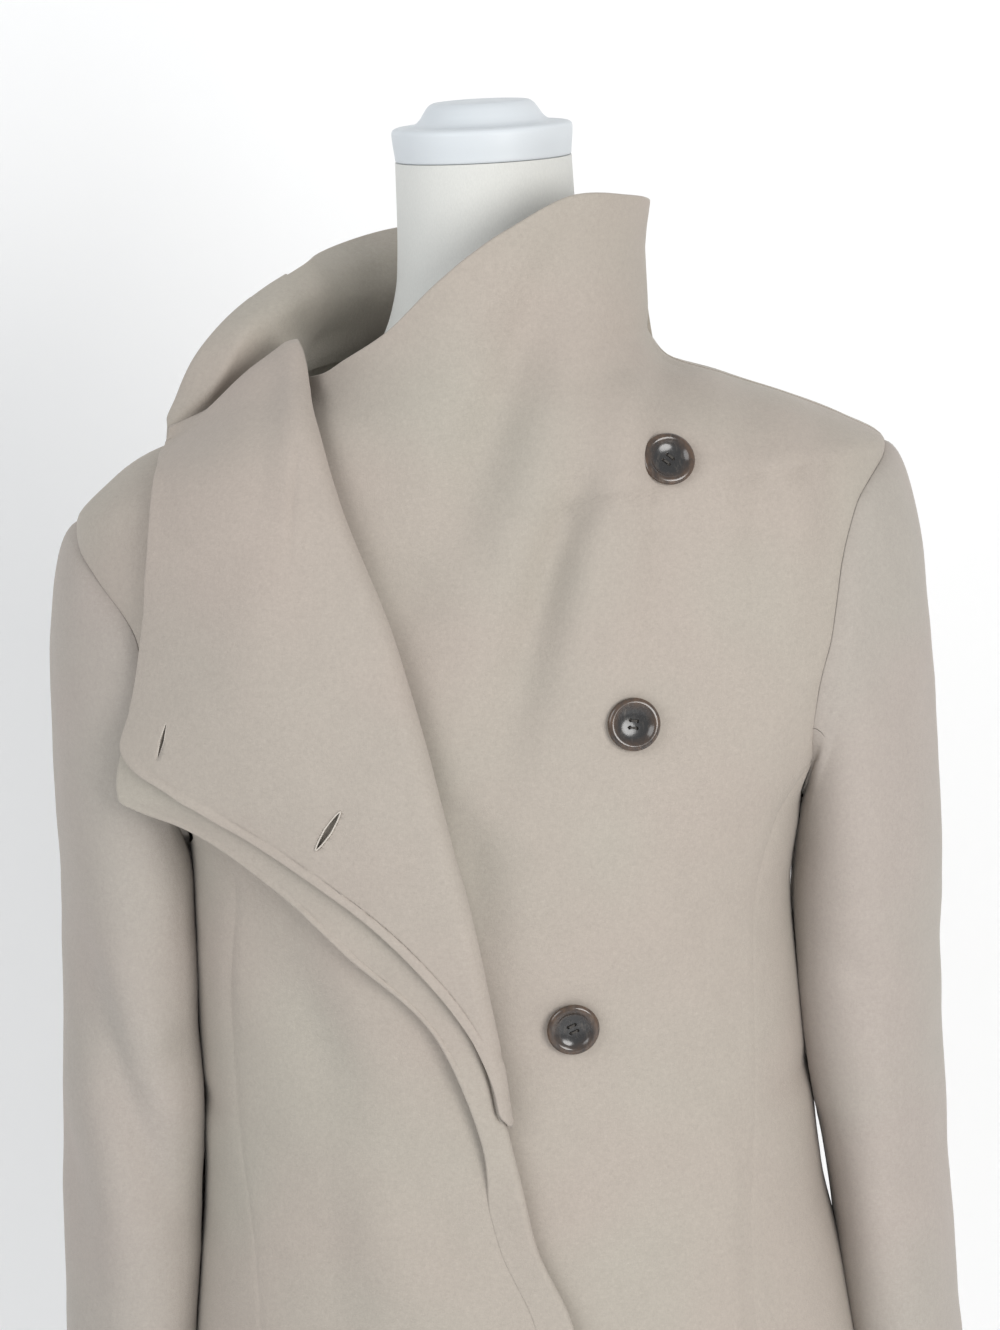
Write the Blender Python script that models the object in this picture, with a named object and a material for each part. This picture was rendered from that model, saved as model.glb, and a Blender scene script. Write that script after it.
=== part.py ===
# Asymmetric wool coat on a limbless dress form.
# Lengths in the tables are millimetres: x to the viewer's right, the coat's front faces -y, z up from the floor.
# The coat's body is one smooth family of level rings. Each panel is cut out of it by its own seam curves, given as
# angle round the ring (0 centre front, 90 the viewer's right side, 180 centre back) against height.
import math

import bmesh
import bpy
import numpy as np
from mathutils import Matrix, Vector

for old in list(bpy.data.objects):
    bpy.data.objects.remove(old, do_unlink=True)

# ---------------------------------------------------------------- driving sizes (mm)
CLOTH = 2.4             # thickness of the felted wool
SEAM_GAP = 0.35         # clearance between two sewn pieces
HEM_Z = 520.0           # hem above the floor
UNDERARM_Z = 1153.0     # where the side-front seam meets the armhole
SHOULDER_Z = 1308.5     # shoulder point, before the shoulder drop
NECK_Z = 1376.0         # neck seam
COLLAR_TOP_Z = 1450.0   # top corner of the standing collar
LEFT_SHOULDER = 6.5     # rise of the shoulder line on the viewer's left, halfway to the shoulder point
SHOULDER_DROP = 0.048   # the worn coat hangs lower on the viewer's left, by this slope
FAN_Z = 1290.0          # above this height the left front's rows fan out toward its collar edge
LAP = 5.0               # how far the right front stands off the left front that it covers
FACING_GAP = 1.1        # space between the lapel and its facing
RIM_ROLL = 8.0          # the back collar's rim rolls out by this much on the viewer's left
NECK_STEP = 1.5         # the back collar starts this far above the neck edge
SLEEVE_SEAM = 1.5       # the sleeve starts this far outside the armhole edge
BUTTON_SHANK = 1.2       # a button stands this far off the cloth on its thread
FORM_CLEAR_AXIS_Y = 10.0  # neck, pole and base share this axis
POLE_R = 15.0
BASE_R = 170.0
BASE_T = 22.0

# ---------------------------------------------------------------- tables
# coat rings: height, half width, depth to the front, depth to the back, squareness
RING = [
    (520, 217, 148, 144, 2.2), (640, 204, 140, 136, 2.2), (760, 191, 131, 128, 2.2), (835, 181.5, 125, 120, 2.2),
    (880, 175.5, 121, 114.5, 2.2), (921, 169.5, 116.5, 107, 2.2), (975, 166.4, 112.5, 95, 2.23), (1000, 165.5, 112, 90.5, 2.25),
    (1029, 164.6, 115.5, 91, 2.28), (1081, 162.7, 124.5, 97, 2.33), (1125, 166.5, 127.5, 104, 2.38),
    (1157, 184.2, 125.5, 107.5, 2.4), (1189.5, 201.8, 122, 111, 2.4), (1221.5, 214.2, 117.5, 112, 2.4),
    (1277.5, 218.4, 108, 109, 2.3), (1308.5, 216.5, 101.5, 105, 2.2), (1322.5, 197, 98.5, 101, 2.15),
    (1338.5, 165, 96, 96.5, 2.1), (1352, 133, 93.5, 92, 2.1), (1365.5, 102, 91.5, 86, 2.1), (1373, 96, 90, 82, 2.1),
    (1383, 91.5, 88, 79.5, 2.1), (1396.5, 92, 86, 78, 2.1), (1424, 92.3, 84, 77, 2.1), (1450, 96.3, 84, 77.5, 2.1),
    (1463, 98, 84, 78, 2.1),
]
# ring centre: height, x
CENTRE = [(520, -11), (835, -11.8), (975, -13.9), (1081, -16), (1125, -12.1), (1308.5, -9.6), (1463, -9.5)]
# side-front seam: height, angle on the viewer's right, angle on the viewer's left
SEAM_FRONT = [(520, 36, 42), (856, 42.6, 50), (992, 51.8, 58.5), (1045, 54, 58.1), (1110, 58, 54), (1153, 66.5, 66.5)]
# side-back seam: height, angle
SEAM_BACK = [(520, 132), (866, 128), (1000, 124), (1090, 122), (1153, 116)]
# front of the armhole: height, angle right, angle left
ARM_FRONT = [(1153, 66.5, 66.5), (1173, 58.5, 58.5), (1194, 55, 55), (1206, 54.2, 54.2), (1247, 56, 56.1), (1283, 62.6, 69.5),
             (1297, 72, 79), (1308.5, 90, 90)]
# back of the armhole: height, angle
ARM_BACK = [(1153, 116), (1173, 120), (1194, 121), (1236, 120), (1277, 112), (1296, 102), (1308.5, 90)]
# bottom of the armhole: angle, height
ARM_UNDER = [(66.5, 1153), (78, 1132), (90, 1125), (103, 1131), (116, 1153)]
# top edge of the left front's funnel collar: angle, height
COLLAR_EDGE = [(-90, 1374), (-72, 1376.5), (-61, 1379), (-50, 1385.5), (-30, 1399.5), (-9.65, 1425.5), (9.3, 1447),
               (35.3, 1462), (60, 1457), (90, 1450)]
# hidden front edge of the left front, under the right one: height, angle
UNDERLAP = [(520, -11), (1000, -14.3), (1100, -18.6), (1200, -21), (1290, -28), (1330, -45), (1370, -70)]
# roll line and, below z 978, closed front edge: height, x
ROLL = [(520, 24), (760, 21), (850, 17), (871.5, 13.5), (914, -3), (951, -10), (978, -15), (999, -17.5), (1083.6, -28.5),
        (1168.6, -46.5), (1243, -64), (1312.6, -87.5), (1345, -97), (1377.5, -105.5), (1395, -108)]
# roundness of the roll: height, radius
ROLL_R = [(520, 1.9), (900, 1.9), (978, 2.6), (1065, 4.2), (1195, 5.5), (1312, 6), (1385, 5)]
# the rows rise toward the top of the roll: height, rise
RISE = [(1331, 0), (1352, 2.5), (1365.5, 7), (1376, 14)]
# outer edge of the turned-back lapel: row height on the body, x, y, z, belly of the row toward the viewer
LAPEL = [
    (880, 4.5, -130, 880, 0), (915, -13.5, -126.5, 913, 0), (951, -23, -124, 946, 0), (978, -30, -123, 980, 0.5),
    (1015, -50, -127, 1034, 0.5), (1065, -92, -129, 1078, 2), (1110, -131, -114, 1115, 6), (1155, -176, -94, 1145, 9),
    (1172, -202, -84, 1154.5, 11.5), (1184, -210, -81, 1159, 12.5), (1195, -211, -79.5, 1166, 13.5), (1223, -205.5, -78, 1190, 16),
    (1240, -200.5, -78, 1204, 18), (1284, -190.8, -78, 1250, 17), (1309, -185.2, -79, 1290, 15), (1323, -183, -75, 1309, 14),
    (1338.5, -181, -66, 1324, 13), (1352, -179.3, -54, 1334, 11), (1365.5, -178, -43, 1341, 8), (1376, -177.3, -35, 1345.5, 4),
]
# spread collar above the lapel: share of the row (0 left edge, PEAK_U at the roll, 1 at the side neck), then x, y, z
PEAK_U = 0.62
WING = {
    "valley": [(0, -176, -24, 1349.5), (0.22, -158, -20, 1353.5), (0.44, -136, -13, 1366.5), (0.62, -113, -9, 1396),
               (0.8, -106, 1, 1395), (1, -102, 7.5, 1394)],
    "turn": [(0, -175, -17, 1354), (0.22, -152, -19, 1369.5), (0.44, -132, -15, 1394), (0.62, -121, -8, 1402.5),
             (0.8, -110, -1, 1407.5), (1, -102, 7, 1410)],
    "edge": [(0, -171.5, -12, 1360), (0.22, -160.5, -8, 1382), (0.44, -144.5, -2, 1404), (0.62, -133, 6, 1413.5),
             (0.8, -122, 13, 1419.5), (1, -113, 19, 1423.5)],
}
# how the back collar stands in below its rolled rim: share of the height, share of RIM_ROLL
RIM = [(0, 0), (0.45, 0.6), (0.8, 1), (1, 0)]
# top edge of the back collar: angle, x, y, z
BACK_COLLAR = [(90, 86.8, 0, 1454.9), (120, 76, 48, 1452), (150, 39.5, 77, 1447), (180, -9, 88, 1443), (205, -50, 80, 1440),
               (225, -80, 65, 1434), (250, -103, 41, 1427), (270, -113, 19, 1423.5)]
# sleeves, the arm hanging empty: height, outer x, inner x, front y, back y
SLEEVE_RIGHT = [(1103, 230.5, 150, -60, 76), (1068, 229.5, 146, -57, 76), (1038, 226.7, 146, -55, 76),
                (990, 226.5, 149, -51, 76), (966, 227, 153.5, -49, 76), (950, 227.4, 158.5, -48, 76), (920, 228, 163, -45, 76),
                (892, 228.7, 166, -43, 76), (843, 230, 168, -41, 76), (785, 233.5, 174, -38, 75), (730, 238, 180, -36, 74)]
SLEEVE_LEFT = [(1103, -251, -176, -60, 76), (1068, -252.5, -176, -57, 76), (1038, -254, -177, -55, 76),
               (990, -257, -178, -51, 76), (940, -260, -180, -46, 76), (902, -262, -184, -44, 76),
               (843, -265.3, -190, -41, 76), (785, -269, -197, -38, 75), (730, -273, -204, -36, 74)]
SLEEVE_TURN = 0.12      # the sleeve's front turns in toward the body by this slope
SLEEVE_CLEAR = 3.1      # least distance between the middles of the sleeve's and the body's walls
CUFF_SQUARE = 2.2
# dress form: height, half width, depth to the front, depth to the back
FORM = [(760, 126, 76, 76), (766, 146, 90, 90), (800, 156, 96, 98), (880, 152, 96, 98), (940, 140, 88, 86),
        (1000, 130, 84, 72), (1060, 134, 94, 76), (1110, 144, 104, 84), (1165, 160, 98, 88), (1230, 184, 89, 90),
        (1280, 193, 80, 85), (1300, 191, 74, 80), (1315, 180, 69.5, 74), (1329, 158, 66, 69), (1342, 129, 62, 63),
        (1355, 99, 57, 57), (1366, 79, 53, 52), (1377, 66.5, 50, 49.5), (1389, 58.5, 48.5, 48.5), (1403, 53.2, 48, 48.2),
        (1419, 49.8, 47.8, 48), (1445, 48.2, 47.6, 47.8), (1480.7, 47.4, 47.4, 47.4)]
# turned cap on the neck: radius, height
CAP = [(0, 1481), (46.6, 1481), (47.2, 1481.6), (47.6, 1485), (48.4, 1492), (48.6, 1496), (47.9, 1498), (45.5, 1499),
       (38.5, 1499.6), (35.4, 1500.8), (33, 1503), (30.6, 1506.6), (28.3, 1509.6), (25.5, 1511.2), (21, 1511.6), (0, 1511.6)]
# base, a shallow turned disc: radius, height
BASE = [(0, 0), (BASE_R - 3, 0), (BASE_R, 3), (BASE_R, 9), (BASE_R - 4, 13), (BASE_R - 40, 17), (60, BASE_T - 2),
        (24, BASE_T), (0, BASE_T)]
# button, in its own frame: radius, height (rim, dish)
BUTTON = [(0, 0), (11.5, 0), (13.4, 0.9), (14, 2.1), (13.6, 3.4), (12.4, 4.2), (10.8, 4.1), (9.2, 3.0), (7.2, 2.5), (0, 2.5)]
# buttons: x, z on the left front
BUTTONS = [(87, 1324.5), (61.8, 1192), (22.6, 1031.3)]
# outer edge of the facing on the turned-back lapel: height, x
FACING_EDGE = [(970, -15), (980.7, -18), (998, -20.5), (1016, -24), (1050.9, -41), (1097.6, -80.8), (1129.6, -122.6), (1148.7, -152),
               (1164, -179), (1175, -198.2), (1179, -214), (1345, -214)]
# buttonholes in the facing: x, z of one end, x, z of the other
BUTTONHOLES = [(-187.2, 1182.6, -179.8, 1202.2), (-106, 1137, -91, 1157)]
HOLE_W = 2.2

COLOURS = {  # linear colour, roughness, metallic
    "wool": ((0.47, 0.42, 0.36), 0.95, 0.0),
    "wool_sleeve": ((0.44, 0.40, 0.35), 0.95, 0.0),
    "wool_facing": ((0.43, 0.38, 0.33), 0.95, 0.0),
    "horn": ((0.045, 0.033, 0.025), 0.35, 0.0),
    "form": ((0.72, 0.72, 0.70), 0.6, 0.0),
    "cap": ((0.66, 0.68, 0.72), 0.4, 0.0),
    "steel": ((0.55, 0.55, 0.56), 0.3, 1.0),
}


# ---------------------------------------------------------------- curves
def curve(table, q, col=1):
    """Smooth curve through a table's first column and column col, with no overshoot."""
    xs = np.array([r[0] for r in table], float)
    ys = np.array([r[col] for r in table], float)
    q = np.clip(np.asarray(q, float), xs[0], xs[-1])
    h = np.diff(xs)
    d = np.diff(ys) / h
    m = np.zeros(len(xs))
    m[0], m[-1] = d[0], d[-1]
    for k in range(1, len(xs) - 1):
        if d[k - 1] * d[k] > 0:
            w1, w2 = 2 * h[k] + h[k - 1], h[k] + 2 * h[k - 1]
            m[k] = (w1 + w2) / (w1 / d[k - 1] + w2 / d[k])
    i = np.clip(np.searchsorted(xs, q, side="right") - 1, 0, len(xs) - 2)
    t = (q - xs[i]) / h[i]
    return ((1 + 2 * t) * (1 - t) ** 2 * ys[i] + t * (1 - t) ** 2 * h[i] * m[i]
            + t * t * (3 - 2 * t) * ys[i + 1] + t * t * (t - 1) * h[i] * m[i + 1])


def smooth(a, b, q):
    t = np.clip((np.asarray(q, float) - a) / (b - a), 0, 1)
    return t * t * (3 - 2 * t)


def sag(x, zu):
    """How far the worn coat's rings are raised: the shoulder drop, and a fuller shoulder line on the viewer's left."""
    slope = SHOULDER_DROP * np.clip((np.asarray(zu, float) - 1040) / 250, 0, 1)
    full = LEFT_SHOULDER * np.exp(-((np.asarray(x, float) + 190) / 28) ** 2) * smooth(1285, 1325, zu)
    return slope * (x + 10) + full


# ---------------------------------------------------------------- the coat's body surface
def ring_point(t, zu):
    """Point on the body at angle t (degrees) of the ring at height zu."""
    t = np.radians(np.asarray(t, float))
    zu = np.asarray(zu, float)
    a, bf, bb, n = (curve(RING, zu, k) for k in (1, 2, 3, 4))
    s, c = np.sin(t), np.cos(t)
    x = curve(CENTRE, zu) + a * np.sign(s) * np.abs(s) ** (2 / n)
    y = -np.sign(c) * np.where(c > 0, bf, bb) * np.abs(c) ** (2 / n)
    return np.stack([x, y, zu + sag(x, zu)], -1)


def ring_level(p):
    """Ring function: 1 on the body, more outside it."""
    x, y, z = p[..., 0], p[..., 1], p[..., 2]
    zu = z - sag(x, z)
    zu = z - sag(x, zu)
    a, bf, bb, n = (curve(RING, zu, k) for k in (1, 2, 3, 4))
    return (np.abs((x - curve(CENTRE, zu)) / a) ** n + np.abs(y / np.where(y < 0, bf, bb)) ** n) ** (1 / n)


def ring_normal(p):
    g = np.stack([ring_level(p + h) - ring_level(p - h) for h in np.eye(3) * 0.6], -1)
    return g / np.linalg.norm(g, axis=-1, keepdims=True)


def body(t, zu, off=0.0):
    p = ring_point(t, zu)
    return p + ring_normal(p) * np.asarray(off, float)[..., None]


def angle_at(x, zu):
    """Angle on the front of the ring at height zu where the ring is at x."""
    a, n = curve(RING, zu, 1), curve(RING, zu, 4)
    r = np.clip((x - curve(CENTRE, zu)) / a, -1, 1)
    return np.degrees(np.arcsin(np.sign(r) * np.abs(r) ** (n / 2)))


# ---------------------------------------------------------------- panel edges as angle against height
def edge_front(zu, side):
    """Outer edge of a front panel: side-front seam, armhole, then the shoulder and collar side at 90."""
    col = 1 if side > 0 else 2
    return np.where(zu <= UNDERARM_Z, curve(SEAM_FRONT, zu, col), np.where(zu <= SHOULDER_Z, curve(ARM_FRONT, zu, col), 90.0))


def edge_back(zu):
    return np.where(zu <= UNDERARM_Z, curve(SEAM_BACK, zu), np.where(zu <= SHOULDER_Z, curve(ARM_BACK, zu), 90.0))


def trim(t, zu, ways):
    """Moves an edge by half the seam gap: ways is +1 to open toward larger angles."""
    r = 0.5 * (curve(RING, zu, 1) + curve(RING, zu, 2))
    return t + ways * math.degrees(1) * (SEAM_GAP / 2) / r


# ---------------------------------------------------------------- walls
def normals_of(grid):
    """Vertex normals of a grid of points; missing points are nan."""
    n = np.zeros(grid.shape)
    p = grid
    a = p[1:, 1:] - p[:-1, :-1]
    b = p[1:, :-1] - p[:-1, 1:]
    f = np.cross(a, b)
    f = np.where(np.isnan(f), 0, f)
    n[:-1, :-1] += f
    n[1:, :-1] += f
    n[:-1, 1:] += f
    n[1:, 1:] += f
    return n / np.maximum(np.linalg.norm(n, axis=-1, keepdims=True), 1e-9)


def wall(name, grid, mat, normals=None, thick=CLOTH, ring=False):
    """Closed wall of the given thickness on a grid of points. ring joins the last column to the first."""
    grid = np.asarray(grid, float)
    if ring:
        grid = np.concatenate([grid, grid[:, :1]], 1)
    n = normals_of(grid) if normals is None else normals
    if ring:
        n = n.copy()
        if normals is None:
            m = n[:, 0] + n[:, -1]
            n[:, 0] = n[:, -1] = m / np.linalg.norm(m, axis=-1, keepdims=True)
    rows, cols = grid.shape[:2]
    last = cols - 1 if ring else cols
    bm = bmesh.new()
    verts = {}
    for i in range(rows):
        for j in range(last):
            if not np.isnan(grid[i, j, 0]):
                for side in (0, 1):
                    q = grid[i, j] + n[i, j] * thick * (0.5 - side)
                    verts[i, j, side] = bm.verts.new(Vector(q * 0.001))
    edges = {}
    for i in range(rows - 1):
        for j in range(cols - 1):
            k = [(i, j), (i, j + 1), (i + 1, j + 1), (i + 1, j)]
            k = [(r, c % last if ring else c) for r, c in k]
            if all((r, c, 0) in verts for r, c in k):
                # the shorter diagonal makes the flatter pair of triangles
                q = [verts[r, c, 0].co for r, c in k]
                cut = ((0, 1, 2), (0, 2, 3)) if (q[0] - q[2]).length <= (q[1] - q[3]).length else ((0, 1, 3), (1, 2, 3))
                for tri in cut:
                    bm.faces.new([verts[k[m][0], k[m][1], 0] for m in tri])
                    bm.faces.new([verts[k[m][0], k[m][1], 1] for m in reversed(tri)])
                for a, b in zip(k, k[1:] + k[:1]):
                    if (b, a) in edges:
                        del edges[b, a]
                    else:
                        edges[a, b] = True
    for a, b in edges:
        v = [verts[a[0], a[1], 0], verts[a[0], a[1], 1], verts[b[0], b[1], 1], verts[b[0], b[1], 0]]
        cut = ((0, 1, 2), (0, 2, 3)) if (v[0].co - v[2].co).length <= (v[1].co - v[3].co).length else ((0, 1, 3), (1, 2, 3))
        for tri in cut:
            bm.faces.new([v[m] for m in tri])
    for v in [v for v in bm.verts if not v.link_faces]:
        bm.verts.remove(v)
    if bm.calc_volume(signed=True) < 0:
        bmesh.ops.reverse_faces(bm, faces=bm.faces)
    return place(name, bm, mat)


def turned(name, profile, mat, seg=40, at=(0, 0, 0), aim=None, squash=None):
    """Solid turned from radius and height pairs about an upright axis, with flat discs at both ends."""
    bm = bmesh.new()
    rings = []
    for r, z in profile:
        if r == 0:
            rings.append([bm.verts.new(Vector((0, 0, z)) * 0.001)])
        else:
            rings.append([bm.verts.new(Vector((r * math.cos(2 * math.pi * k / seg), r * math.sin(2 * math.pi * k / seg), z)) * 0.001)
                          for k in range(seg)])
    bm.verts.remove(rings[0][0])
    bm.verts.remove(rings[-1][0])
    for lo, hi in zip(rings[1:-1], rings[2:-1]):
        for k in range(seg):
            m = (k + 1) % seg
            bm.faces.new([lo[k], lo[m], hi[m], hi[k]])
    bm.faces.new(list(reversed(rings[1])))
    bm.faces.new(rings[-2])
    if bm.calc_volume(signed=True) < 0:
        bmesh.ops.reverse_faces(bm, faces=bm.faces)
    ob = place(name, bm, mat)
    turn = Matrix.Identity(3) if aim is None else Vector((0, 0, 1)).rotation_difference(Vector(aim)).to_matrix()
    ob.matrix_world = Matrix.Translation(Vector(at) * 0.001) @ turn.to_4x4()
    return ob


def place(name, bm, mat):
    me = bpy.data.meshes.new(name)
    bm.to_mesh(me)
    bm.free()
    me.shade_smooth()
    me.set_sharp_from_angle(angle=math.radians(40))
    ob = bpy.data.objects.new(name, me)
    colour, rough, metal = COLOURS[mat]
    m = bpy.data.materials.new(name + "_mat")
    m.use_nodes = True
    b = m.node_tree.nodes["Principled BSDF"]
    b.inputs["Base Color"].default_value = (*colour, 1)
    b.inputs["Roughness"].default_value = rough
    b.inputs["Metallic"].default_value = metal
    me.materials.append(m)
    bpy.context.scene.collection.objects.link(ob)
    return ob


# ---------------------------------------------------------------- back
def back_panel(rows_z, cols):
    t, z = [], []
    for zu in rows_z:
        e = edge_back(zu)
        a = trim(e, zu, 1)
        t.append(np.linspace(a, 360 - a, cols))
        z.append(np.full(cols, zu))
    t, z = np.array(t), np.array(z)
    return t, z


ROWS_LOW = [HEM_Z, 610, 700, 790, 880, 915, 951, 978, 1000, 1023, 1048, 1085, 1122, UNDERARM_Z]
ROWS_ARM = [1172, 1195, 1223, 1252, 1278, 1296, SHOULDER_Z]
ROWS_SHOULDER = [1323, 1338, 1352, 1365, NECK_Z - SEAM_GAP / 2]

t, z = back_panel(ROWS_LOW + ROWS_ARM + ROWS_SHOULDER, 15)
p = ring_point(t, z)
wall("coat_back", p, "wool", ring_normal(p))


# ---------------------------------------------------------------- side panels
def side_panel(side, rows_z, cols):
    """Rows meet both seams at the same heights as the neighbours' rows; the top row follows the armhole."""
    t, z = [], []
    u = np.linspace(0, 1, cols)
    col = 1 if side > 0 else 2
    for zn in rows_z:
        zz = np.full(cols, float(zn))
        for _ in range(8):
            a = trim(curve(SEAM_FRONT, zz, col), zz, 1)
            b = trim(curve(SEAM_BACK, zz), zz, -1)
            tt = a + (b - a) * u
            top = curve(ARM_UNDER, ARM_UNDER[0][0] + (ARM_UNDER[-1][0] - ARM_UNDER[0][0]) * u)
            zz = HEM_Z + (zn - HEM_Z) / (UNDERARM_Z - HEM_Z) * (top - HEM_Z)
        t.append(tt)
        z.append(zz)
    return np.array(t) * side, np.array(z)


SIDE_COLS = 7
for side, name in ((1, "coat_side_left"), (-1, "coat_side_right")):
    t, z = side_panel(side, ROWS_LOW, SIDE_COLS)
    p = ring_point(t, z)
    wall(name, p, "wool", ring_normal(p))


# ---------------------------------------------------------------- left front, with its cut-on funnel collar
def left_front(rows_z, cols):
    """Rows are level up to FAN_Z and fan out above it, up to the sloping collar edge."""
    t, z = [], []
    for zn in rows_z:
        s = max(0.0, (zn - FAN_Z) / (COLLAR_TOP_Z - FAN_Z))
        tr = trim(edge_front(np.float64(min(zn, COLLAR_TOP_Z)), 1), min(zn, 1400), -1)
        tl = curve(UNDERLAP, zn if zn <= FAN_Z else FAN_Z + 80 * s)
        tt = np.linspace(tr, tl, cols)
        t.append(tt)
        z.append(np.full(cols, zn) if zn <= FAN_Z else FAN_Z + s * (curve(COLLAR_EDGE, tt) - FAN_Z))
    return np.array(t), np.array(z)


t, z = left_front(ROWS_LOW + ROWS_ARM + [1323, 1338, 1352, 1365, 1376, 1388, 1405, 1428, COLLAR_TOP_Z], 16)
p = ring_point(t, z)
wall("coat_front_left", p, "wool", ring_normal(p))


# ---------------------------------------------------------------- right front: body, roll, lapel and spread collar in one
def right_offset(t, zu):
    """Distance off the body: LAP over the hidden edge of the left front, none at its own seams."""
    tl = curve(UNDERLAP, zu)
    start = np.minimum(tl - 20, -62)
    start = np.where(zu > SHOULDER_Z, -90, np.maximum(start, tl - 20))
    stop = np.where(zu > SHOULDER_Z, -78, start + 14)
    return LAP * smooth(0, 1, (t - start) / (stop - start))


def right_row(zu, body_cols, lapel_cols):
    """One row: side seam, body, three points round the roll, lapel out to its edge."""
    ts = -trim(edge_front(np.float64(zu), -1), zu, -1)
    xr = float(curve(ROLL, zu + sag(curve(ROLL, zu), zu)))
    r = float(curve(ROLL_R, zu))
    lo, hi = -88.0, 40.0
    for _ in range(30):   # where the body turns into the roll, so that the roll's outermost point is at xr
        t_end = (lo + hi) / 2
        end = body(t_end, zu, LAP)
        nx = ring_normal(end)[0]
        lo, hi = (t_end, hi) if end[0] + (1 + nx) * r < xr else (lo, t_end)
    n = ring_normal(end)
    n[2] = 0
    n /= np.linalg.norm(n)
    tang = np.array([-n[1], n[0], 0])
    t = np.linspace(ts, t_end, body_cols)
    z = np.full(body_cols, float(zu))
    lift = float(curve(RISE, zu)) * smooth(-88, max(t_end, -80), t)
    pts = list(body(t, z, right_offset(t, z)) + lift[:, None] * np.array([0, 0, 1.0]))
    end = pts[-1]
    has_lapel = zu >= LAPEL[0][0] - 1
    edge = np.array([curve(LAPEL, zu, k) for k in (1, 2, 3)]) if has_lapel else end - 20 * tang
    turn = math.pi
    around = lambda w: end + n * r * (1 - math.cos(w)) + tang * r * math.sin(w)
    for _ in range(4):
        first = around(turn)
        mid = (first + edge) / 2 - np.array([0, 2 * float(curve(LAPEL, zu, 4)) if has_lapel else 0, 0])
        d = mid - first
        turn = math.atan2(float(d @ n), float(d @ tang))
        turn = math.pi if turn < 0 else max(1.2, turn)
    pts += [around(turn * k) for k in (0.25, 0.5, 0.75)]
    if has_lapel:
        for s in np.linspace(0, 1, lapel_cols):
            pts.append((1 - s) ** 2 * first + 2 * s * (1 - s) * mid + s * s * edge)
    else:
        pts += [np.full(3, np.nan)] * lapel_cols
    return np.array(pts)


BODY_COLS, LAPEL_COLS = 9, 8
ROWS_RIGHT = ROWS_LOW + ROWS_ARM + [1323, 1338, 1352, 1365, NECK_Z]
grid = [right_row(zu, BODY_COLS, LAPEL_COLS) for zu in ROWS_RIGHT]
total = BODY_COLS + 3 + LAPEL_COLS
# share of each column along the spread collar, from the left edge to the side neck
share = np.concatenate([np.linspace(1, PEAK_U + 0.06, BODY_COLS), [PEAK_U + 0.04, PEAK_U + 0.02, PEAK_U],
                        np.linspace(PEAK_U - 0.02, 0, LAPEL_COLS)])
for line in ("valley", "turn", "edge"):
    grid.append(np.stack([curve(WING[line], share, k) for k in (1, 2, 3)], -1))
RIGHT = np.array(grid)
RIGHT_N = normals_of(RIGHT)
if RIGHT_N[2, 2, 1] > 0:
    RIGHT_N = -RIGHT_N
for j, keep in ((0, 1.0), (1, 0.6), (2, 0.25)):
    m = ring_normal(RIGHT[:len(ROWS_RIGHT), j]) * keep + RIGHT_N[:len(ROWS_RIGHT), j] * (1 - keep)
    RIGHT_N[:len(ROWS_RIGHT), j] = m / np.linalg.norm(m, axis=-1, keepdims=True)
wall("coat_front_right", RIGHT, "wool", RIGHT_N)


# ---------------------------------------------------------------- facing with its buttonholes, on the lapel
def facing(rows, lift):
    """Lapel points from the nose of the roll out to FACING_EDGE, moved out by lift."""
    row_p, row_n = RIGHT[rows, BODY_COLS + 1:], -RIGHT_N[rows, BODY_COLS + 1:]
    p, n = np.zeros(row_p.shape), np.zeros(row_n.shape)
    for i, (q, w) in enumerate(zip(row_p, row_n)):
        arc = np.concatenate([[0], np.cumsum(np.linalg.norm(np.diff(q, axis=0), axis=-1))])
        fine = np.linspace(0, arc[-1], 300)
        x, z = np.interp(fine, arc, q[:, 0]), np.interp(fine, arc, q[:, 2])
        inside = fine[x > curve(FACING_EDGE, z)]
        length = min(max(inside.max() if len(inside) else 0, 4.0), arc[-1] - 3.0)
        keep = 0.65 * length   # near the roll both layers bend at the same places
        at = np.where(arc < keep, arc, keep + (arc - keep) * (length - keep) / (arc[-1] - keep))
        for k in range(3):
            p[i, :, k], n[i, :, k] = np.interp(at, arc, q[:, k]), np.interp(at, arc, w[:, k])
    n /= np.linalg.norm(n, axis=-1, keepdims=True)
    return p + n * lift, n


first_row = ROWS_RIGHT.index(978)
last_row = len(ROWS_RIGHT) - 1
fp, fn = facing(slice(first_row, last_row + 1), CLOTH + FACING_GAP)
ob = wall("coat_facing_right", fp, "wool_facing", fn)
for k, (x0, z0, x1, z1) in enumerate(BUTTONHOLES):
    bm = bmesh.new()
    bmesh.ops.create_cube(bm, size=1)
    cut = place("hole_cut_%d" % (k + 1), bm, "horn")
    d = Vector((x1 - x0, 0, z1 - z0))
    near = fp.reshape(-1, 3)[np.argmin(np.hypot(fp[..., 0] - (x0 + x1) / 2, fp[..., 2] - (z0 + z1) / 2).reshape(-1))]
    mid = Vector(((x0 + x1) / 2, float(near[1]), (z0 + z1) / 2))
    cut.matrix_world = (Matrix.Translation(mid * 0.001) @ Matrix.Rotation(-math.atan2(d.z, d.x), 4, "Y")
                        @ Matrix.Diagonal((d.length * 0.001, 0.012, HOLE_W * 0.001, 1)))
    cut.hide_render = True
    cut.display_type = "WIRE"
    mod = ob.modifiers.new("buttonhole_%d" % (k + 1), "BOOLEAN")
    mod.object = cut


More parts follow.
